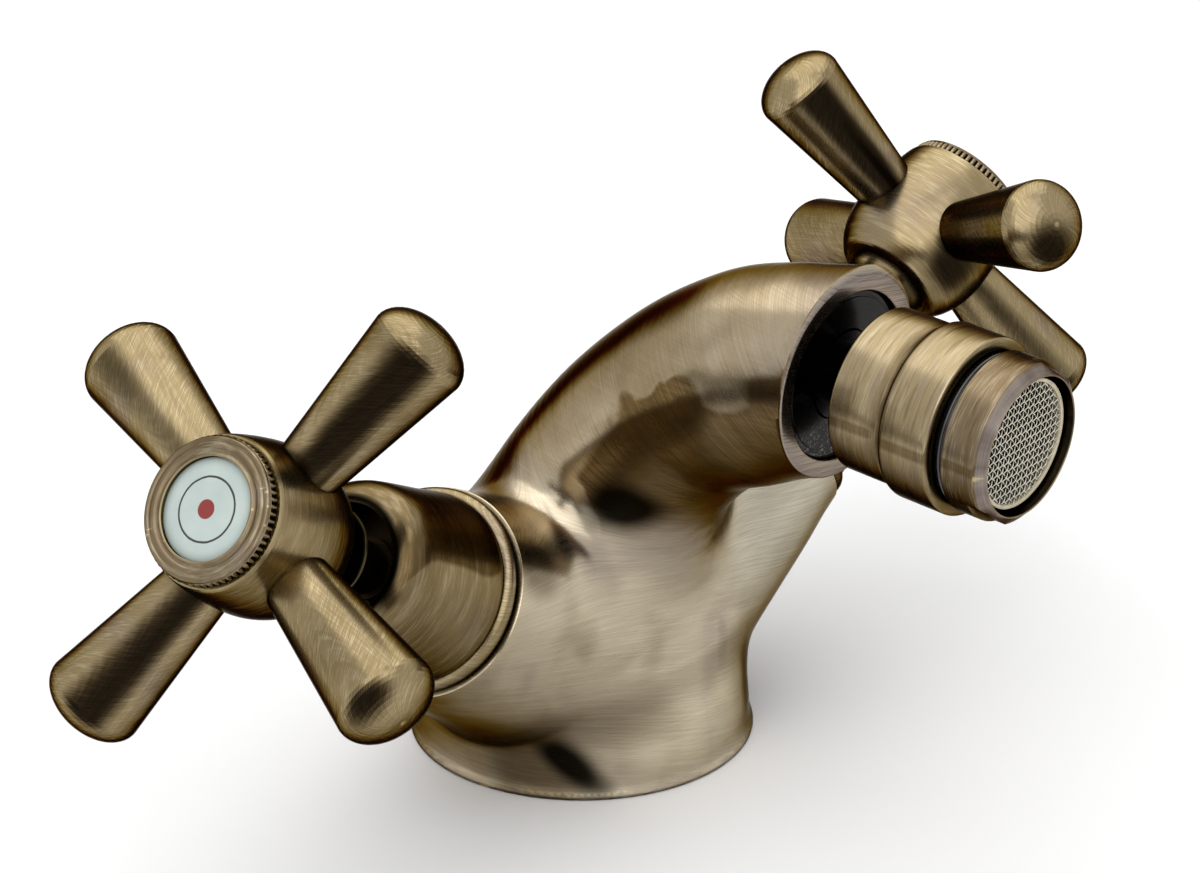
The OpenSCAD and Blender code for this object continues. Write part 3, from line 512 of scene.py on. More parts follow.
def mouth_face(n, local):
    """The grey face round the spout's mouth."""
    y, z = split(n, local)[1:3]
    drop = radians(OUTLET_DROP)
    reach = plus(n, times(n, y, -cos(drop)), times(n, z, -sin(drop)))
    face_at = (OUTLET_REACH * cos(drop) - OUTLET_H * sin(drop)) * MM
    return step_between(n, reach, *(face_at - depth for depth in MOUTH_DEPTH))


def aerator_face(n, local):
    """The grey bevel at the aerator's front."""
    x, y, z = split(n, local)
    return times(n, step_between(n, z, *BEVEL_Z), step_between(n, off_axis(n, x, y), *BEVEL_R), 0.85)


# Other materials

def plain(name, colour, rough, metallic=0.0, bump=0.0, coat=0.0, speckle=0.06):
    """Material with soft colour variation and a fine surface."""
    n = material_nodes(name)
    grain = noise(n, object_place(n), 300.0, 4.0)
    darker = tuple(c * (1 - 2 * speckle) for c in colour)
    lighter = tuple(min(1.0, c * (1 + speckle)) for c in colour)
    spread = ranged(n, grain, *NOISE_SPAN, rough * 0.85, rough * 1.15)
    n.surface(Base_Color=n.ramp(grain, ((0.35, darker), (0.65, lighter))), Metallic=metallic,
              Roughness=spread, Coat_Weight=coat)
    if bump:
        n.bump(grain, bump, 0.00005)
    return n.owner


MARK_RING = (0.00462, 0.00500)
MARK_DOT = 0.00148
MARK_EDGE = 0.00006


def porcelain(name, matrix, mark):
    """Glazed disc with a generic mark: a thin dark ring round a coloured dot."""
    n = material_nodes(name)
    local = local_place(n, matrix)
    x, y, z = split(n, local)
    radius = off_axis(n, x, y)
    uneven = plus(n, radius, times(n, noise(n, local, 900.0, 2.0), 0.00012))
    glaze = n.ramp(noise(n, local, 160.0, 3.0), ((0.3, srgb(170, 184, 180)), (0.7, srgb(186, 197, 192))))
    glaze = n.mix(step_between(n, radius, 0.0060, 0.0078), glaze, srgb(150, 162, 156))
    ring = times(n, step_between(n, uneven, MARK_RING[0], MARK_RING[0] + MARK_EDGE),
                 step_between(n, uneven, MARK_RING[1], MARK_RING[1] - MARK_EDGE))
    colour = n.mix(ring, glaze, srgb(46, 44, 40))
    colour = n.mix(step_between(n, uneven, MARK_DOT + 0.00004, MARK_DOT - 0.00004), colour, mark)
    n.surface(Base_Color=colour, Roughness=0.16, Coat_Weight=0.3)
    n.bump(noise(n, local, 500.0, 2.0), 0.05, 0.00003)
    return n.owner


INSERT_PITCH = 0.00018
SPECKS_Z = (0.0735, 0.0655)
CARTRIDGE_RIM_R = (0.00950, 0.00945)


def black_metal(name, matrix):
    """Dark polished plating with fine turning marks and grey specks low down."""
    n = material_nodes(name)
    local = local_place(n, matrix)
    z = split(n, object_place(n))["Z"]
    lines = turned_scratches(n, local, INSERT_PITCH)
    specks = step_between(n, noise(n, local, 2600.0, 3.0, 0.0, 0.7), 0.56, 0.66)
    low = step_between(n, z, *SPECKS_Z)
    colour = n.ramp(lines, ((0.35, srgb(12, 11, 10)), (0.65, srgb(30, 27, 25))))
    colour = n.mix(times(n, low, specks, 0.75), colour, srgb(132, 126, 118))
    n.surface(Base_Color=colour, Metallic=1.0, Roughness=0.16)
    n.bump(lines, 0.1, 0.00002)
    return n.owner


def cartridge_plastic(name, matrix):
    """Cream rim round a black inside, painted black as shade behind the screen."""
    n = material_nodes(name)
    local = local_place(n, matrix)
    x, y, z = split(n, local)
    grain = noise(n, local, 700.0, 3.0)
    rim = n.ramp(grain, ((0.35, srgb(196, 184, 156)), (0.65, srgb(216, 206, 180))))
    inside = step_between(n, off_axis(n, x, y), *CARTRIDGE_RIM_R)
    n.surface(Base_Color=n.mix(inside, rim, srgb(12, 12, 12)), Roughness=0.45)
    n.bump(grain, 0.1, 0.00003)
    return n.owner


# Meshes

def new_object(name, verts, faces, material):
    mesh = bpy.data.meshes.new(name)
    mesh.from_pydata([tuple(v) for v in verts], [], faces)
    mesh.update()
    mesh.shade_smooth()
    mesh.materials.append(material)
    obj = bpy.data.objects.new(name, mesh)
    COLLECTION.objects.link(obj)
    return obj


def outward(mesh):
    """Turns all faces outward."""
    bm = bmesh.new()
    bm.from_mesh(mesh)
    bmesh.ops.recalc_face_normals(bm, faces=bm.faces[:])
    bm.to_mesh(mesh)
    bm.free()


def fit(obj, body, node):
    """Puts a piece on its body, in the place of a CAD node."""
    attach(obj, body)
    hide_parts(node)


def bead(radius, height, r, start, end, steps=6):
    """(radius, height) rows of a rounded edge about a point, from angle start to end."""
    angles = [radians(start + (end - start) * i / steps) for i in range(steps + 1)]
    return [(radius + r * cos(a), height + r * sin(a)) for a in angles]


# Body: a smooth blend of the foot, both horns and the spout. The foot's rows are (height, radius), the
# spout's (y, z, radius) along its curve, and the horns' (distance from the root, radius)
FOOT_PROFILE = [(0.0, 28.6), (0.5, 28.6), (1.4, 28.15), (2.2, 27.95), (3.0, 27.85), (6.0, 27.7), (10.0, 27.0),
                (14.5, 25.9), (19.0, 25.3)]
FOOT_TOP, FOOT_DOME = 19.0, 11.0
SPOUT_STATIONS = [(0, 12.2, 24.1), (-0.8, 26.2, 22.5), (-4.2, 38.4, 19.9), (-12.6, 53.2, 17.1),
                  (-24.6, 65.1, 16.3), (-35.9, 71.5, 16.9), (-43.8, 74.6, 16.5), (-50.9, 76.4, 16.2),
                  (-58.0, 78.0, 16.2)]
HORN_PROFILE = [(0.0, 10.8), (5.2, 15.3), (11.4, 18.2), (17.6, 19.4), (23.9, 19.6), (31.1, 18.85),
                (38.9, 17.9), (46.9, 16.7), (60.0, 15.2)]
BLEND_SPOUT = 9.0
BLEND_FOOT = 3.5
GRID = 0.75
GRID_LOW, GRID_HIGH = (-52.0, -60.0, -2.0), (52.0, 31.0, 97.0)


def spline(points, steps):
    """Catmull-Rom curve through the points."""
    p = np.array(points, float)
    p = np.vstack([2 * p[0] - p[1], p, 2 * p[-1] - p[-2]])
    k = np.linspace(0, 1, steps, endpoint=False)[:, None]
    rows = [0.5 * (2 * b + (c - a) * k + (2 * a - 5 * b + 4 * c - d) * k ** 2
                   + (3 * b - a - 3 * c + d) * k ** 3) for a, b, c, d in zip(p, p[1:], p[2:], p[3:])]
    return np.vstack(rows + [p[-2:-1]])


SPOUT_CURVE = spline(SPOUT_STATIONS, 10)
HORN_CURVE = spline(HORN_PROFILE, 8)
FOOT_CURVE = spline(FOOT_PROFILE, 6)


def smooth_min(a, b, k):
    h = np.clip(0.5 + 0.5 * (b - a) / k, 0, 1)
    return b * (1 - h) + a * h - k * h * (1 - h)


def near_curve(y, z):
    """Distance to the spout's centre line in its plane, and the spout's radius there."""
    best = np.full(y.shape, 1e9)
    radius = np.zeros(y.shape)
    for (ay, az, ar), (by, bz, br) in zip(SPOUT_CURVE, SPOUT_CURVE[1:]):
        dy, dz = by - ay, bz - az
        k = np.clip(((y - ay) * dy + (z - az) * dz) / (dy * dy + dz * dz), 0, 1)
        d = np.hypot(y - ay - k * dy, z - az - k * dz)
        closer = d < best
        best = np.where(closer, d, best)
        radius = np.where(closer, ar + k * (br - ar), radius)
    return best, radius


def to_horn(p, side):
    """Points in the frame of a horn, from its root, in millimetres."""
    m = np.array((handle_frame(side) @ Matrix.Translation((0, 0, -HORN_REACH * MM))).inverted())
    return p @ m[:3, :3].T + m[:3, 3] / MM


def body_field(p, plane=None):
    """Signed distance, about, of the blended casting at points p in millimetres."""
    x, y, z = p[..., 0], p[..., 1], p[..., 2]
    flat, radius = near_curve(y, z) if plane is None else plane
    spout = np.hypot(x, flat) - radius
    horns = []
    for side in SIDES:
        q = to_horn(p, side)
        rho, s = np.hypot(q[..., 0], q[..., 1]), q[..., 2]
        horns.append(np.maximum(rho - np.interp(s, HORN_CURVE[:, 0], HORN_CURVE[:, 1]), -s))
    dome = FOOT_CURVE[-1, 1] * np.sqrt(np.clip(1 - ((z - FOOT_TOP) / FOOT_DOME) ** 2, 0, 1))
    r = np.where(z > FOOT_TOP, dome, np.interp(z, FOOT_CURVE[:, 0], FOOT_CURVE[:, 1]))
    foot = np.maximum(np.hypot(x, y) - r, z - FOOT_TOP - FOOT_DOME)
    arms = smooth_min(*horns, BLEND_SPOUT)
    return smooth_min(smooth_min(spout, arms, BLEND_SPOUT), foot, BLEND_FOOT)


def net_points(f, low, step):
    """One point in each grid cell that the zero surface crosses, and the cells' numbers."""
    inside = f < 0
    shape = np.array(f.shape) - 1
    total = np.zeros((*shape, 3))
    count = np.zeros(shape)
    for axis in range(3):
        others = [a for a in range(3) if a != axis]
        for i in (0, 1):
            for j in (0, 1):
                cut_a, cut_b = [slice(0, -1)] * 3, [slice(0, -1)] * 3
                for part in (cut_a, cut_b):
                    part[others[0]] = slice(i, f.shape[others[0]] - 1 + i)
                    part[others[1]] = slice(j, f.shape[others[1]] - 1 + j)
                cut_b[axis] = slice(1, None)
                a, b = f[tuple(cut_a)], f[tuple(cut_b)]
                crossing = inside[tuple(cut_a)] != inside[tuple(cut_b)]
                place = np.zeros((*shape, 3))
                place[..., axis] = np.where(crossing, a / np.where(crossing, a - b, 1), 0)
                place[..., others[0]] = i
                place[..., others[1]] = j
                total += place * crossing[..., None]
                count += crossing
    used = count > 0
    number = np.full(shape, -1)
    number[used] = np.arange(used.sum())
    return low + (np.argwhere(used) + total[used] / count[used][:, None]) * step, number


def surface_nets(f, low, step):
    """Points and quads of the zero surface of a field on a regular grid."""
    points, number = net_points(f, low, step)
    inside = f < 0
    quads = []
    for axis in range(3):
        u, v = (axis + 1) % 3, (axis + 2) % 3
        here, there = [slice(None)] * 3, [slice(None)] * 3
        here[axis], there[axis] = slice(0, -1), slice(1, None)
        at = np.argwhere(inside[tuple(here)] != inside[tuple(there)])
        at = at[(at[:, u] > 0) & (at[:, v] > 0) & (at[:, u] < number.shape[u]) & (at[:, v] < number.shape[v])]
        corners = []
        for du, dv in ((1, 1), (0, 1), (0, 0), (1, 0)):
            c = at.copy()
            c[:, u] -= du
            c[:, v] -= dv
            corners.append(number[c[:, 0], c[:, 1], c[:, 2]])
        quad = np.stack(corners, 1)
        leaving = inside[at[:, 0], at[:, 1], at[:, 2]]
        quad[~leaving] = quad[~leaving][:, ::-1]
        quads.append(quad)
    return points, np.vstack(quads)


def settle(points, rounds=3, h=0.05):
    """Moves points onto the zero surface of the body's field."""
    for _ in range(rounds):
        value = body_field(points)
        slope = np.stack([(body_field(points + d) - body_field(points - d)) / (2 * h)
                          for d in np.eye(3) * h], 1)
        points = points - slope * (value / np.maximum((slope ** 2).sum(1), 0.2))[:, None]
    return points


def body_surface():
    low, high = np.array(GRID_LOW), np.array(GRID_HIGH)
    axes = [np.arange(a, b, GRID) for a, b in zip(low, high)]
    flat, radius = near_curve(*np.meshgrid(axes[1], axes[2], indexing="ij"))
    grid = np.stack(np.meshgrid(*axes, indexing="ij"), -1)
    points, quads = surface_nets(body_field(grid, (flat[None], radius[None])), low, GRID)
    return settle(points), quads


def made_edges(made):
    return [g for g in made if isinstance(g, bmesh.types.BMEdge)]


def extend(bm, edges, matrix, profile, slot=0):
    """Adds rings (height, radius), in millimetres about the matrix's axis, to an open edge loop."""
    inverse = matrix.inverted()
    for height, radius in profile:
        made = bmesh.ops.extrude_edge_only(bm, edges=edges)["geom"]
        for v in (g for g in made if isinstance(g, bmesh.types.BMVert)):
            q = inverse @ v.co
            flat = Vector((q.x, q.y, 0)).normalized() * radius * MM
            v.co = matrix @ Vector((flat.x, flat.y, height * MM))
        for face in (g for g in made if isinstance(g, bmesh.types.BMFace)):
            face.material_index = slot
        edges = made_edges(made)
    return edges


def cut(bm, matrix, height, reach=40.0, depth=15.0):
    """Removes what lies beyond a height of the matrix's axis, near the axis, and returns the open edges."""
    inverse = matrix.inverted()
    normal = (matrix.to_3x3() @ Vector((0, 0, 1))).normalized()
    place = matrix @ Vector((0, 0, height * MM))
    faces = []
    for face in bm.faces:
        q = inverse @ face.calc_center_median()
        if q.z > (height - depth) * MM and q.x * q.x + q.y * q.y < (reach * MM) ** 2:
            faces.append(face)
    around = list({e for f in faces for e in f.edges}) + list({v for f in faces for v in f.verts})
    out = bmesh.ops.bisect_plane(bm, geom=faces + around, dist=1e-7, plane_co=place, plane_no=normal,
                                 clear_outer=True)
    return made_edges(out["geom_cut"])


# Ends of the casting's openings as (height, radius) rows: heights from the shroud's foot for the horns, from
# the outlet face for the mouth, and downward from the deck for the foot
HORN_CUT = -6.85
HORN_CUT_REACH, HORN_CUT_DEPTH = 21.0, 6.0
HORN_SHOULDER = [(-3.42, 16.6), (-3.32, 16.4)]
BEAD_R, BEAD_Z, BEAD_RING_R = 1.4, -1.7, 14.82
HORN_BEAD = ([(-3.26, 15.7), (-3.2, 15.3), (-3.12, 15.25)]
             + [(height, radius) for radius, height in bead(BEAD_RING_R, BEAD_Z, BEAD_R, -90, 90, 12)][1:-1])
HORN_BORE = [(-0.3, 14.9), (-0.3, 10.35), (-8.0, 10.35), (-8.0, 9.2), (-17.0, 9.2)]
MOUTH_CUT = -0.45
MOUTH = [(-0.18, 16.22), (-0.05, 16.08), (0, 15.85), (0, 13.65), (-0.12, 13.5), (-5.95, 13.5)]
FOOT_CUT = -0.5
FOOT_END = [(-0.25, 28.55), (-0.08, 28.4), (0, 28.15), (0, 24.3), (-2.2, 24.3), (-2.2, 21.7), (0, 21.7)]
# Holes in the underside: x, y and radius
HOLES = [(-10.0, 0, 4.45), (10.0, 0, 4.45), (0, 13.0, 3.4)]
HOLE_DEPTH = 12
HOLE_SIDES = 48


def hole(bm, x, y, r):
    """Round blind hole in the underside; returns its rim's edges."""
    turns = [2 * pi * i / HOLE_SIDES for i in range(HOLE_SIDES)]
    ring = [bm.verts.new(((x + r * cos(a)) * MM, (y + r * sin(a)) * MM, 0)) for a in turns]
    rim = [bm.edges.new((a, b)) for a, b in zip(ring, ring[1:] + ring[:1])]
    deep = [bm.verts.new(v.co + Vector((0, 0, HOLE_DEPTH * MM))) for v in ring]
    for i in range(HOLE_SIDES):
        k = (i + 1) % HOLE_SIDES
        bm.faces.new((ring[i], ring[k], deep[k], deep[i]))
    bm.faces.new(deep)
    return rim


def build_body(material, bead_material):
    points, quads = body_surface()
    mesh = bpy.data.meshes.new("casting")
    mesh.from_pydata((points * MM).tolist(), [], quads.tolist())
    bm = bmesh.new()
    bm.from_mesh(mesh)
    for side in SIDES:
        matrix = handle_frame(side)
        edges = cut(bm, matrix, HORN_CUT, HORN_CUT_REACH, HORN_CUT_DEPTH)
        edges = extend(bm, edges, matrix, HORN_SHOULDER)
        bmesh.ops.holes_fill(bm, edges=extend(bm, edges, matrix, HORN_BEAD + HORN_BORE, 1))
    outlet = outlet_frame()
    bmesh.ops.holes_fill(bm, edges=extend(bm, cut(bm, outlet, MOUTH_CUT), outlet, MOUTH))
    down = Matrix.Rotation(pi, 4, "X")
    edges = extend(bm, cut(bm, down, FOOT_CUT), down, FOOT_END)
    for place in HOLES:
        edges += hole(bm, *place)
    bmesh.ops.triangle_fill(bm, use_beauty=True, edges=edges, normal=(0, 0, -1))
    bmesh.ops.recalc_face_normals(bm, faces=bm.faces[:])
    bm.to_mesh(mesh)
    bm.free()
    mesh.shade_smooth()
    mesh.set_sharp_from_angle(angle=radians(38))
    mesh.materials.append(material)
    mesh.materials.append(bead_material)
    obj = bpy.data.objects.new("casting", mesh)
    COLLECTION.objects.link(obj)
    fit(obj, "tap_body", "body")


# Turned pieces

def lathe(name, matrix, profile, material, segments=192, shape=None, closed=False, sharp=32):
    """Turns (radius, height) rows in millimetres round a matrix's axis.

    shape(radius, height, angle) bends them, and a closed profile joins its last row to its first.
    """
    verts, faces = [], []
    for radius, height in profile:
        for i in range(segments):
            angle = 2 * pi * i / segments
            r = shape(radius, height, angle) if shape else radius
            verts.append(matrix @ Vector((r * cos(angle) * MM, r * sin(angle) * MM, height * MM)))
    rows = len(profile)
    for k in range(rows if closed else rows - 1):
        low, high = k * segments, (k + 1) % rows * segments
        faces += [(low + i, low + (i + 1) % segments, high + (i + 1) % segments, high + i)
                  for i in range(segments)]
    if not closed:
        faces += [tuple(range(segments))[::-1], tuple(range(len(verts) - segments, len(verts)))]
    obj = new_object(name, verts, faces, material)
    outward(obj.data)
    obj.data.set_sharp_from_angle(angle=radians(sharp))
    return obj


# Outlet insert, swivel and aerator: (radius, height) rows, heights in front of the outlet face
INSERT = ([(6.95, -11), (10, -11), (10, -5.95), (13.4, -5.95), (13.4, -1.3)]
          + bead(13.1, -1.25, 0.3, 0, 90, 4)
          + [(12.6, -0.95), (12.5, -1.06), (12.3, -1.06), (12.2, -0.95), (7.3, -0.95), (6.95, -1.25)])
REAR_COLLAR = ([(8.35, 6.0), (8.55, 5.9), (12.15, 5.9)] + bead(12.2, 6.5, 0.6, -90, 0)
               + [(12.8, 14.6), (12.72, 14.9), (12.4, 15.2), (12.3, 15.5), (11.4, 15.5), (11.4, 10.1),
                  (10.3, 10.1), (9.9, 9.4), (9.2, 7.5)])
FRONT_COLLAR = ([(11.3, 15.58), (12.5, 15.6)] + bead(12.7, 16.68, 1.1, -90, 0, 8) + [(13.8, 23.7)]
                + bead(13.5, 24.2, 0.3, 0, 60, 3)
                + [(13.0, 24.62), (12.1, 24.68), (11.95, 24.5), (11.3, 24.4), (11.3, 19.7), (7.6, 19.7),
                   (7.6, 18.8), (9.0, 16.8), (10.2, 12.0), (10.25, 10.1), (11.3, 10.1)])
FLAT_FROM, FLAT_HALF, FLAT_ANGLE = 30.38, 11.6, 56.0
AERATOR_RING = ([(10.65, 26.18), (12.0, 26.18)] + bead(12.1, 26.58, 0.4, -90, 0)
                + [(12.5, FLAT_FROM - 0.02), (12.5, FLAT_FROM + 0.02), (12.5, 31.5)]
                + bead(12.2, 32.0, 0.3, 0, 50, 4)
                + [(11.3, 33.2), (11.1, 33.4), (10.95, 33.56), (10.8, 33.56), (10.7, 33.42), (10.7, 30.9),
                   (9.55, 30.9), (9.55, 20.75), (11.2, 20.75), (11.2, 24.68), (10.65, 24.8)])
SEAL_RING = [(10.65, 24.75), (11.6, 24.75)] + bead(11.5, 25.43, 0.38, -60, 60) + [(11.6, 26.1), (10.65, 26.1)]
CARTRIDGE = ([(9.5, 32.1), (9.58, 32.2)] + bead(9.88, 32.0, 0.2, 60, 0, 4)
             + [(10.1, 30.95), (9.5, 30.9), (9.5, 21.7), (0.5, 21.7), (0.5, 23.3), (8.6, 23.3), (8.6, 30.6),
                (9.5, 31.0)])


def flats(radius, height, angle):
    """Cuts the two spanner flats into the front of the aerator's outer ring."""
    if height < FLAT_FROM or radius < FLAT_HALF - 0.5:
        return radius
    lean = abs(cos(angle - radians(FLAT_ANGLE)))
    return min(radius, FLAT_HALF / max(lean, 0.05))


def build_swivel(collars, aerator, insert, seal, plastic):
    turned = partial(lathe, matrix=outlet_frame(), closed=True)
    fit(turned("insert_turned", profile=INSERT, material=insert),
        "tap_body", "outlet_insert")
    fit(turned("rear_collar", profile=REAR_COLLAR, material=collars),
        "aerator", "swivel_ring")
    fit(turned("front_collar", profile=FRONT_COLLAR, material=collars),
        "aerator", "swivel_housing")
    fit(turned("aerator_ring", profile=AERATOR_RING, material=aerator, segments=256, shape=flats),
        "aerator", "aerator_body")
    fit(turned("seal_ring", profile=SEAL_RING, material=seal), "aerator", "aerator_seal")
    fit(turned("cartridge_turned", profile=CARTRIDGE, material=plastic),
        "aerator", "aerator_cartridge")


# Outlet screen: woven wires
SCREEN_R = 9.58
SCREEN_AT = 31.75
SCREEN_TURN = 45
WIRE_PITCH = 0.9
WIRE_R = 0.115
WIRE_WAVE = 0.13
WIRE_SIDES = 6
STEPS_PER_PITCH = 5


def wire(i, across):
    """Rings of points along one wire of the screen, in the outlet's frame and in millimetres."""
    offset = i * WIRE_PITCH
    half = sqrt(SCREEN_R ** 2 - offset ** 2)
    steps = max(4, round(2 * half / WIRE_PITCH * STEPS_PER_PITCH))
    rings = []
    for k in range(steps + 1):
        t = -half + 2 * half * k / steps
        wave = WIRE_WAVE * cos(pi * (t / WIRE_PITCH + i)) * (1 if across else -1)
        ring = []
        for m in range(WIRE_SIDES):
            turn = 2 * pi * m / WIRE_SIDES
            side, up = offset + WIRE_R * cos(turn), SCREEN_AT + wave + WIRE_R * sin(turn)
            ring.append((side, t, up) if across else (t, side, up))
        rings.append(ring)
    return rings


def build_screen(material):
    matrix = outlet_frame() @ Matrix.Rotation(radians(SCREEN_TURN), 4, "Z")
    count = int(SCREEN_R / WIRE_PITCH)
    verts, faces = [], []
    for across in (False, True):
        for i in range(-count, count + 1):
            rings = wire(i, across)
            start = len(verts)
            verts += [matrix @ (Vector(place) * MM) for ring in rings for place in ring]
            for a in range(start, len(verts) - WIRE_SIDES, WIRE_SIDES):
                b = a + WIRE_SIDES
                faces += [(a + m, a + (m + 1) % WIRE_SIDES, b + (m + 1) % WIRE_SIDES, b + m)
                          for m in range(WIRE_SIDES)]
            faces += [tuple(range(end, end + WIRE_SIDES)) for end in (start, len(verts) - WIRE_SIDES)]
    screen = new_object("woven_screen", verts, faces, material)
    outward(screen.data)
    fit(screen, "aerator", "outlet_screen")


# Shrouds and index caps: (radius, height) rows, heights in front of the shroud's foot
SHROUD = [(13.7, 0.0), (15.02, 0.0), (15.05, 0.9), (14.85, 3.0), (14.5, 5.5), (14.16, 8.0), (13.85, 11.0),
          (13.52, 14.0), (13.28, 16.0), (13.05, 17.6), (12.75, 18.8), (12.2, 19.9), (11.4, 20.85),
          (10.5, 21.5), (9.6, 21.85), (9.1, 21.95), (8.8, 21.85), (8.7, 21.5), (8.7, 20.9), (10.2, 20.3),
          (11.4, 19.0), (12.0, 17.0), (12.4, 8.7), (8.85, 8.6), (8.85, 6.4), (13.6, 6.3)]
CAP = ([(7.6, 55.6), (10.0, 55.55), (10.6, 55.57), (10.93, 55.75), (10.95, 56.2), (10.95, 56.6), (10.9, 56.8),
        (10.8, 56.94), (10.72, 57.0)] + bead(10.25, 57.12, 0.42, 0, 80, 5)
       + [(9.95, 57.5), (9.85, 57.42), (9.6, 57.42), (9.5, 57.52), (9.1, 57.54), (8.75, 57.5), (8.65, 57.4),
          (8.2, 57.36), (8.1, 57.44), (8.0, 57.58), (7.8, 57.6), (7.62, 57.5), (7.6, 57.1)])
DISC = [(0.02, 57.3), (1.5, 57.29), (3, 57.25), (4.5, 57.17), (6, 57.06), (7.2, 56.95), (7.55, 56.89),
        (7.95, 56.65), (7.98, 54.6), (7.6, 54.55)]
TEETH = 64
TOOTH_DEPTH = 0.5
TOOTH_ROOT_R, TOOTH_TOP, TOOTH_FADE = 10.4, 56.95, 0.15


def knurl(radius, height, angle):
    """Rounded teeth with narrow gaps on the rear part of the cap's edge."""
    if radius < TOOTH_ROOT_R or height > TOOTH_TOP:
        return radius
    fade = min(1.0, (TOOTH_TOP - height) / TOOTH_FADE)
    return radius - TOOTH_DEPTH * fade * (1 - abs(cos(TEETH / 2 * angle)))


def build_shrouds(materials):
    for side, word in SIDES.items():
        shroud = lathe(f"shroud_turned_{word}", handle_frame(side), SHROUD, materials[side], closed=True,
                       sharp=40)
        fit(shroud, "tap_body", f"shroud_{word}")


def build_caps(materials, marks):
    for side, word in SIDES.items():
        place = handle_frame(side)
        cap = lathe(f"knurled_cap_{word}", place, CAP, materials[side], TEETH * 8, knurl, True, 50)
        fit(cap, f"{word}_handle", f"index_ring_{word}")
        button = lathe(f"porcelain_disc_{word}", place, DISC, marks[side], 96)
        fit(button, f"{word}_handle", f"index_disc_{word}")


# The whole tap

def bronze_pieces():
    """Bronze materials by the name of the CAD node that wears them."""
    outlet = outlet_frame()
    made = {
        "body": bronze("bronze_casting", Matrix.Identity(4), cast_scratches, BODY_TONES, 0.22, 0.2,
                       body_painted_light_and_shade, mouth_face, 0.3, 0.35, lit_side=BODY_LIT_SIDE, lined=0.22),
        "swivel_ring": bronze("bronze_collars", outlet, turned_scratches, SWIVEL_TONES, 0.25,
                              extra=swivel_painted_shade, toned=turned_bands),
        "aerator_body": bronze("bronze_aerator", outlet, turned_scratches, AERATOR_TONES, 0.28,
                               extra=swivel_painted_shade, face=aerator_face, toned=turned_bands)}
    made["swivel_housing"] = made["swivel_ring"]
    for side, word in SIDES.items():
        place = handle_frame(side)
        made[f"shroud_{word}"] = bronze(f"bronze_shroud_{word}", place, turned_scratches, HANDLE_TONES,
                                        extra=shroud_painted_shade)
        made[f"cross_handle_{word}"] = bronze(
            f"bronze_handle_{word}", place, partial(arm_scratches, arms_angle=ARMS_ANGLE[side]), HANDLE_TONES,
            shade=0.92, extra=partial(hub_painted_shade, below=HUB_DARK_BELOW[side]), rim=0.6,
            shade_side=HANDLE_SHADE_SIDES[side], shade_from=HANDLE_SHADES[side], core=0.85)
        made[f"index_ring_{word}"] = bronze(f"bronze_cap_{word}", place, turned_scratches, CAP_TONES, 0.3,
                                            0.1, toned=turned_bands)
    return made


def other_pieces():
    """The other materials by the name of the CAD node that wears them."""
    outlet = outlet_frame()
    black = black_metal("black_plating", outlet)
    # The brass inside the shrouds is painted dark, as shade in their mouths
    brass = plain("dark_brass", srgb(52, 42, 26), 0.4, 1.0)
    rubber = plain("black_rubber", srgb(26, 25, 24), 0.6, bump=0.2)
    seal = plain("black_seal", srgb(16, 15, 15), 0.22, bump=0.1, coat=0.5)
    steel = plain("stainless_steel", srgb(200, 195, 180), 0.28, 1.0)
    ceramic = plain("lapped_ceramic", srgb(232, 230, 224), 0.25)
    made = {"outlet_insert": black, "ball_stud": black, "outlet_screen": steel, "aerator_seal": seal,
            "ball_seat": plain("ivory_plastic", srgb(222, 214, 192), 0.4),
            "aerator_cartridge": cartridge_plastic("cartridge_plastic", outlet),
            "base_seal": rubber, "insert_seal": rubber, "aerator_washer": rubber}
    dots = {HOT: srgb(128, 28, 24), COLD: srgb(28, 54, 120)}
    for side, word in SIDES.items():
        made[f"index_disc_{word}"] = porcelain(f"glazed_porcelain_{word}", handle_frame(side), dots[side])
        for material, pieces in ((brass, ("headwork", "spindle", "spindle_clip")), (steel, ("handle_screw",)),
                                 (rubber, ("headwork_washer", "valve_seal", "spindle_seals")),
                                 (ceramic, ("fixed_disc", "moving_disc"))):
            made.update({f"{piece}_{word}": material for piece in pieces})
    return made


def build_tap():
    made = bronze_pieces() | other_pieces()
    beads = bronze("bronze_beads", Matrix.Identity(4), cast_scratches, HANDLE_TONES, 0.28)
    for name, material in made.items():
        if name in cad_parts:
            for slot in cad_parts[name].material_slots:
                slot.material = material
    build_body(made["body"], beads)
    build_swivel(made["swivel_ring"], made["aerator_body"], made["outlet_insert"], made["aerator_seal"],
                 made["aerator_cartridge"])
    build_screen(made["outlet_screen"])
    build_shrouds({side: made[f"shroud_{word}"] for side, word in SIDES.items()})
    build_caps(*({side: made[f"{piece}_{word}"] for side, word in SIDES.items()}
                 for piece in ("index_ring", "index_disc")))


# Camera fitted to the photograph: angles in degrees, distances in millimetres, focal length in its pixels
AZIMUTH, ELEVATION, DISTANCE = -48.908, 23.345, 599.183
TARGET = (4.596, 0, 49.770)
FOCAL_PX, PHOTO_WIDTH = 3684.784, 1200
SENSOR_WIDTH = 36.0


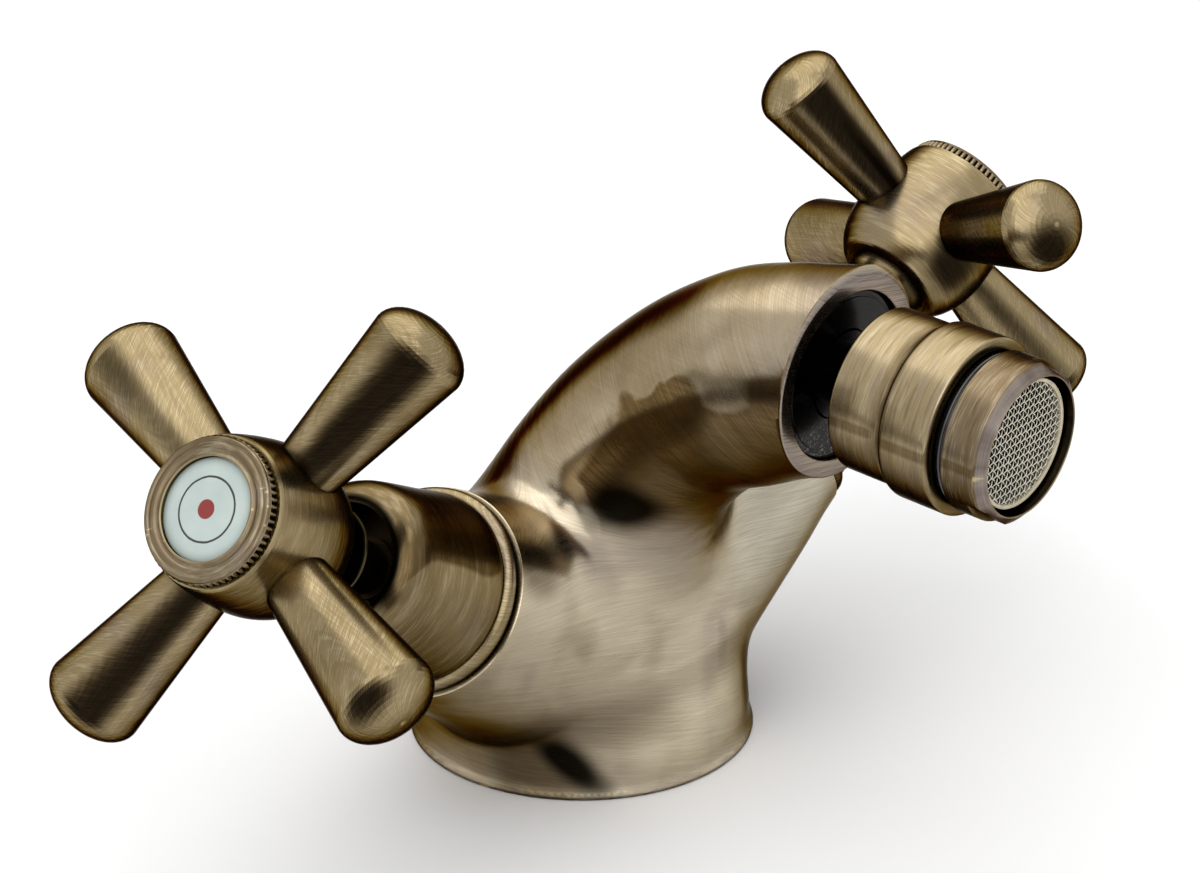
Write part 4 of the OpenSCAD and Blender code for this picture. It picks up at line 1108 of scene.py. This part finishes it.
def camera():
    a, e = radians(AZIMUTH), radians(ELEVATION)
    back = Vector((sin(a) * cos(e), -cos(a) * cos(e), sin(e)))
    right = Vector((cos(a), sin(a), 0))
    data = bpy.data.cameras.new("camera")
    data.sensor_width = SENSOR_WIDTH
    data.lens = FOCAL_PX * SENSOR_WIDTH / PHOTO_WIDTH
    data.clip_start, data.clip_end = 0.01, 20.0
    obj = bpy.data.objects.new("camera", data)
    rotation = Matrix((right, back.cross(right), back)).transposed()
    obj.matrix_world = Matrix.Translation((Vector(TARGET) + back * DISTANCE) * MM) @ rotation.to_4x4()
    COLLECTION.objects.link(obj)
    bpy.context.scene.camera = obj


# Lamps: place, size and power, all aimed at the middle of the tap
AIM = (0, 0, 0.05)
LAMPS = {"key": ((-0.7, -0.5, 1.0), (1.7, 1.7), 10), "top": ((0.3, 0.4, 1.1), (1.5, 1.3), 7)}
WORLD_SEEN, WORLD_LIGHT = 1.0, 0.65
FLOOR_SIZE = 3.0
FLOOR_GREY = 0.94
FLOOR_FADE = (0.3, 0.8)


def area_light(name, place, size, power):
    data = bpy.data.lights.new(name, "AREA")
    data.shape = "RECTANGLE"
    data.size, data.size_y = size
    data.energy = power
    obj = bpy.data.objects.new(name, data)
    obj.location = place
    obj.rotation_euler = (Vector(AIM) - Vector(place)).to_track_quat("-Z", "Y").to_euler()
    COLLECTION.objects.link(obj)


def seen_rays(n):
    """1 for rays that show a surface, 0 for those that only light it."""
    path = n.add("ShaderNodeLightPath").outputs
    return highest(n, path["Is Camera Ray"], path["Is Glossy Ray"], path["Is Transmission Ray"])


def studio():
    world = bpy.data.worlds.new("studio")
    bpy.context.scene.world = world
    n = Nodes(world)
    strength = ranged(n, seen_rays(n), 0.0, 1.0, WORLD_LIGHT, WORLD_SEEN)
    background = n.tree.nodes["Background"]
    n.set(background.inputs["Strength"], strength)
    n.set(background.inputs["Color"], (1, 1, 1, 1))
    for name, lamp in LAMPS.items():
        area_light(name, *lamp)
    build_floor()


def floor_material():
    """Pale floor that runs into the white backdrop far from the tap."""
    n = material_nodes("floor")
    n.surface(Base_Color=(FLOOR_GREY, FLOOR_GREY, FLOOR_GREY, 1), Roughness=0.9)
    x, y, z = split(n, object_place(n))
    white = n.add("ShaderNodeEmission", {"Color": (1, 1, 1, 1), "Strength": 1.0})
    fade = times(n, step_between(n, off_axis(n, x, y), *FLOOR_FADE), seen_rays(n))
    far = n.add("ShaderNodeMixShader", {0: fade, 1: n.shader.outputs[0], 2: white.outputs[0]})
    n.set(n.tree.nodes["Material Output"].inputs["Surface"], far.outputs[0])
    return n.owner


def build_floor():
    mesh = bpy.data.meshes.new("floor")
    s = FLOOR_SIZE
    mesh.from_pydata([(-s, -s, 0), (s, -s, 0), (s, s, 0), (-s, s, 0)], [], [(0, 1, 2, 3)])
    mesh.materials.append(floor_material())
    floor = bpy.data.objects.new("floor", mesh)
    COLLECTION.objects.link(floor)


build_tap()
camera()
studio()
bpy.context.scene.view_settings.view_transform = "Standard"
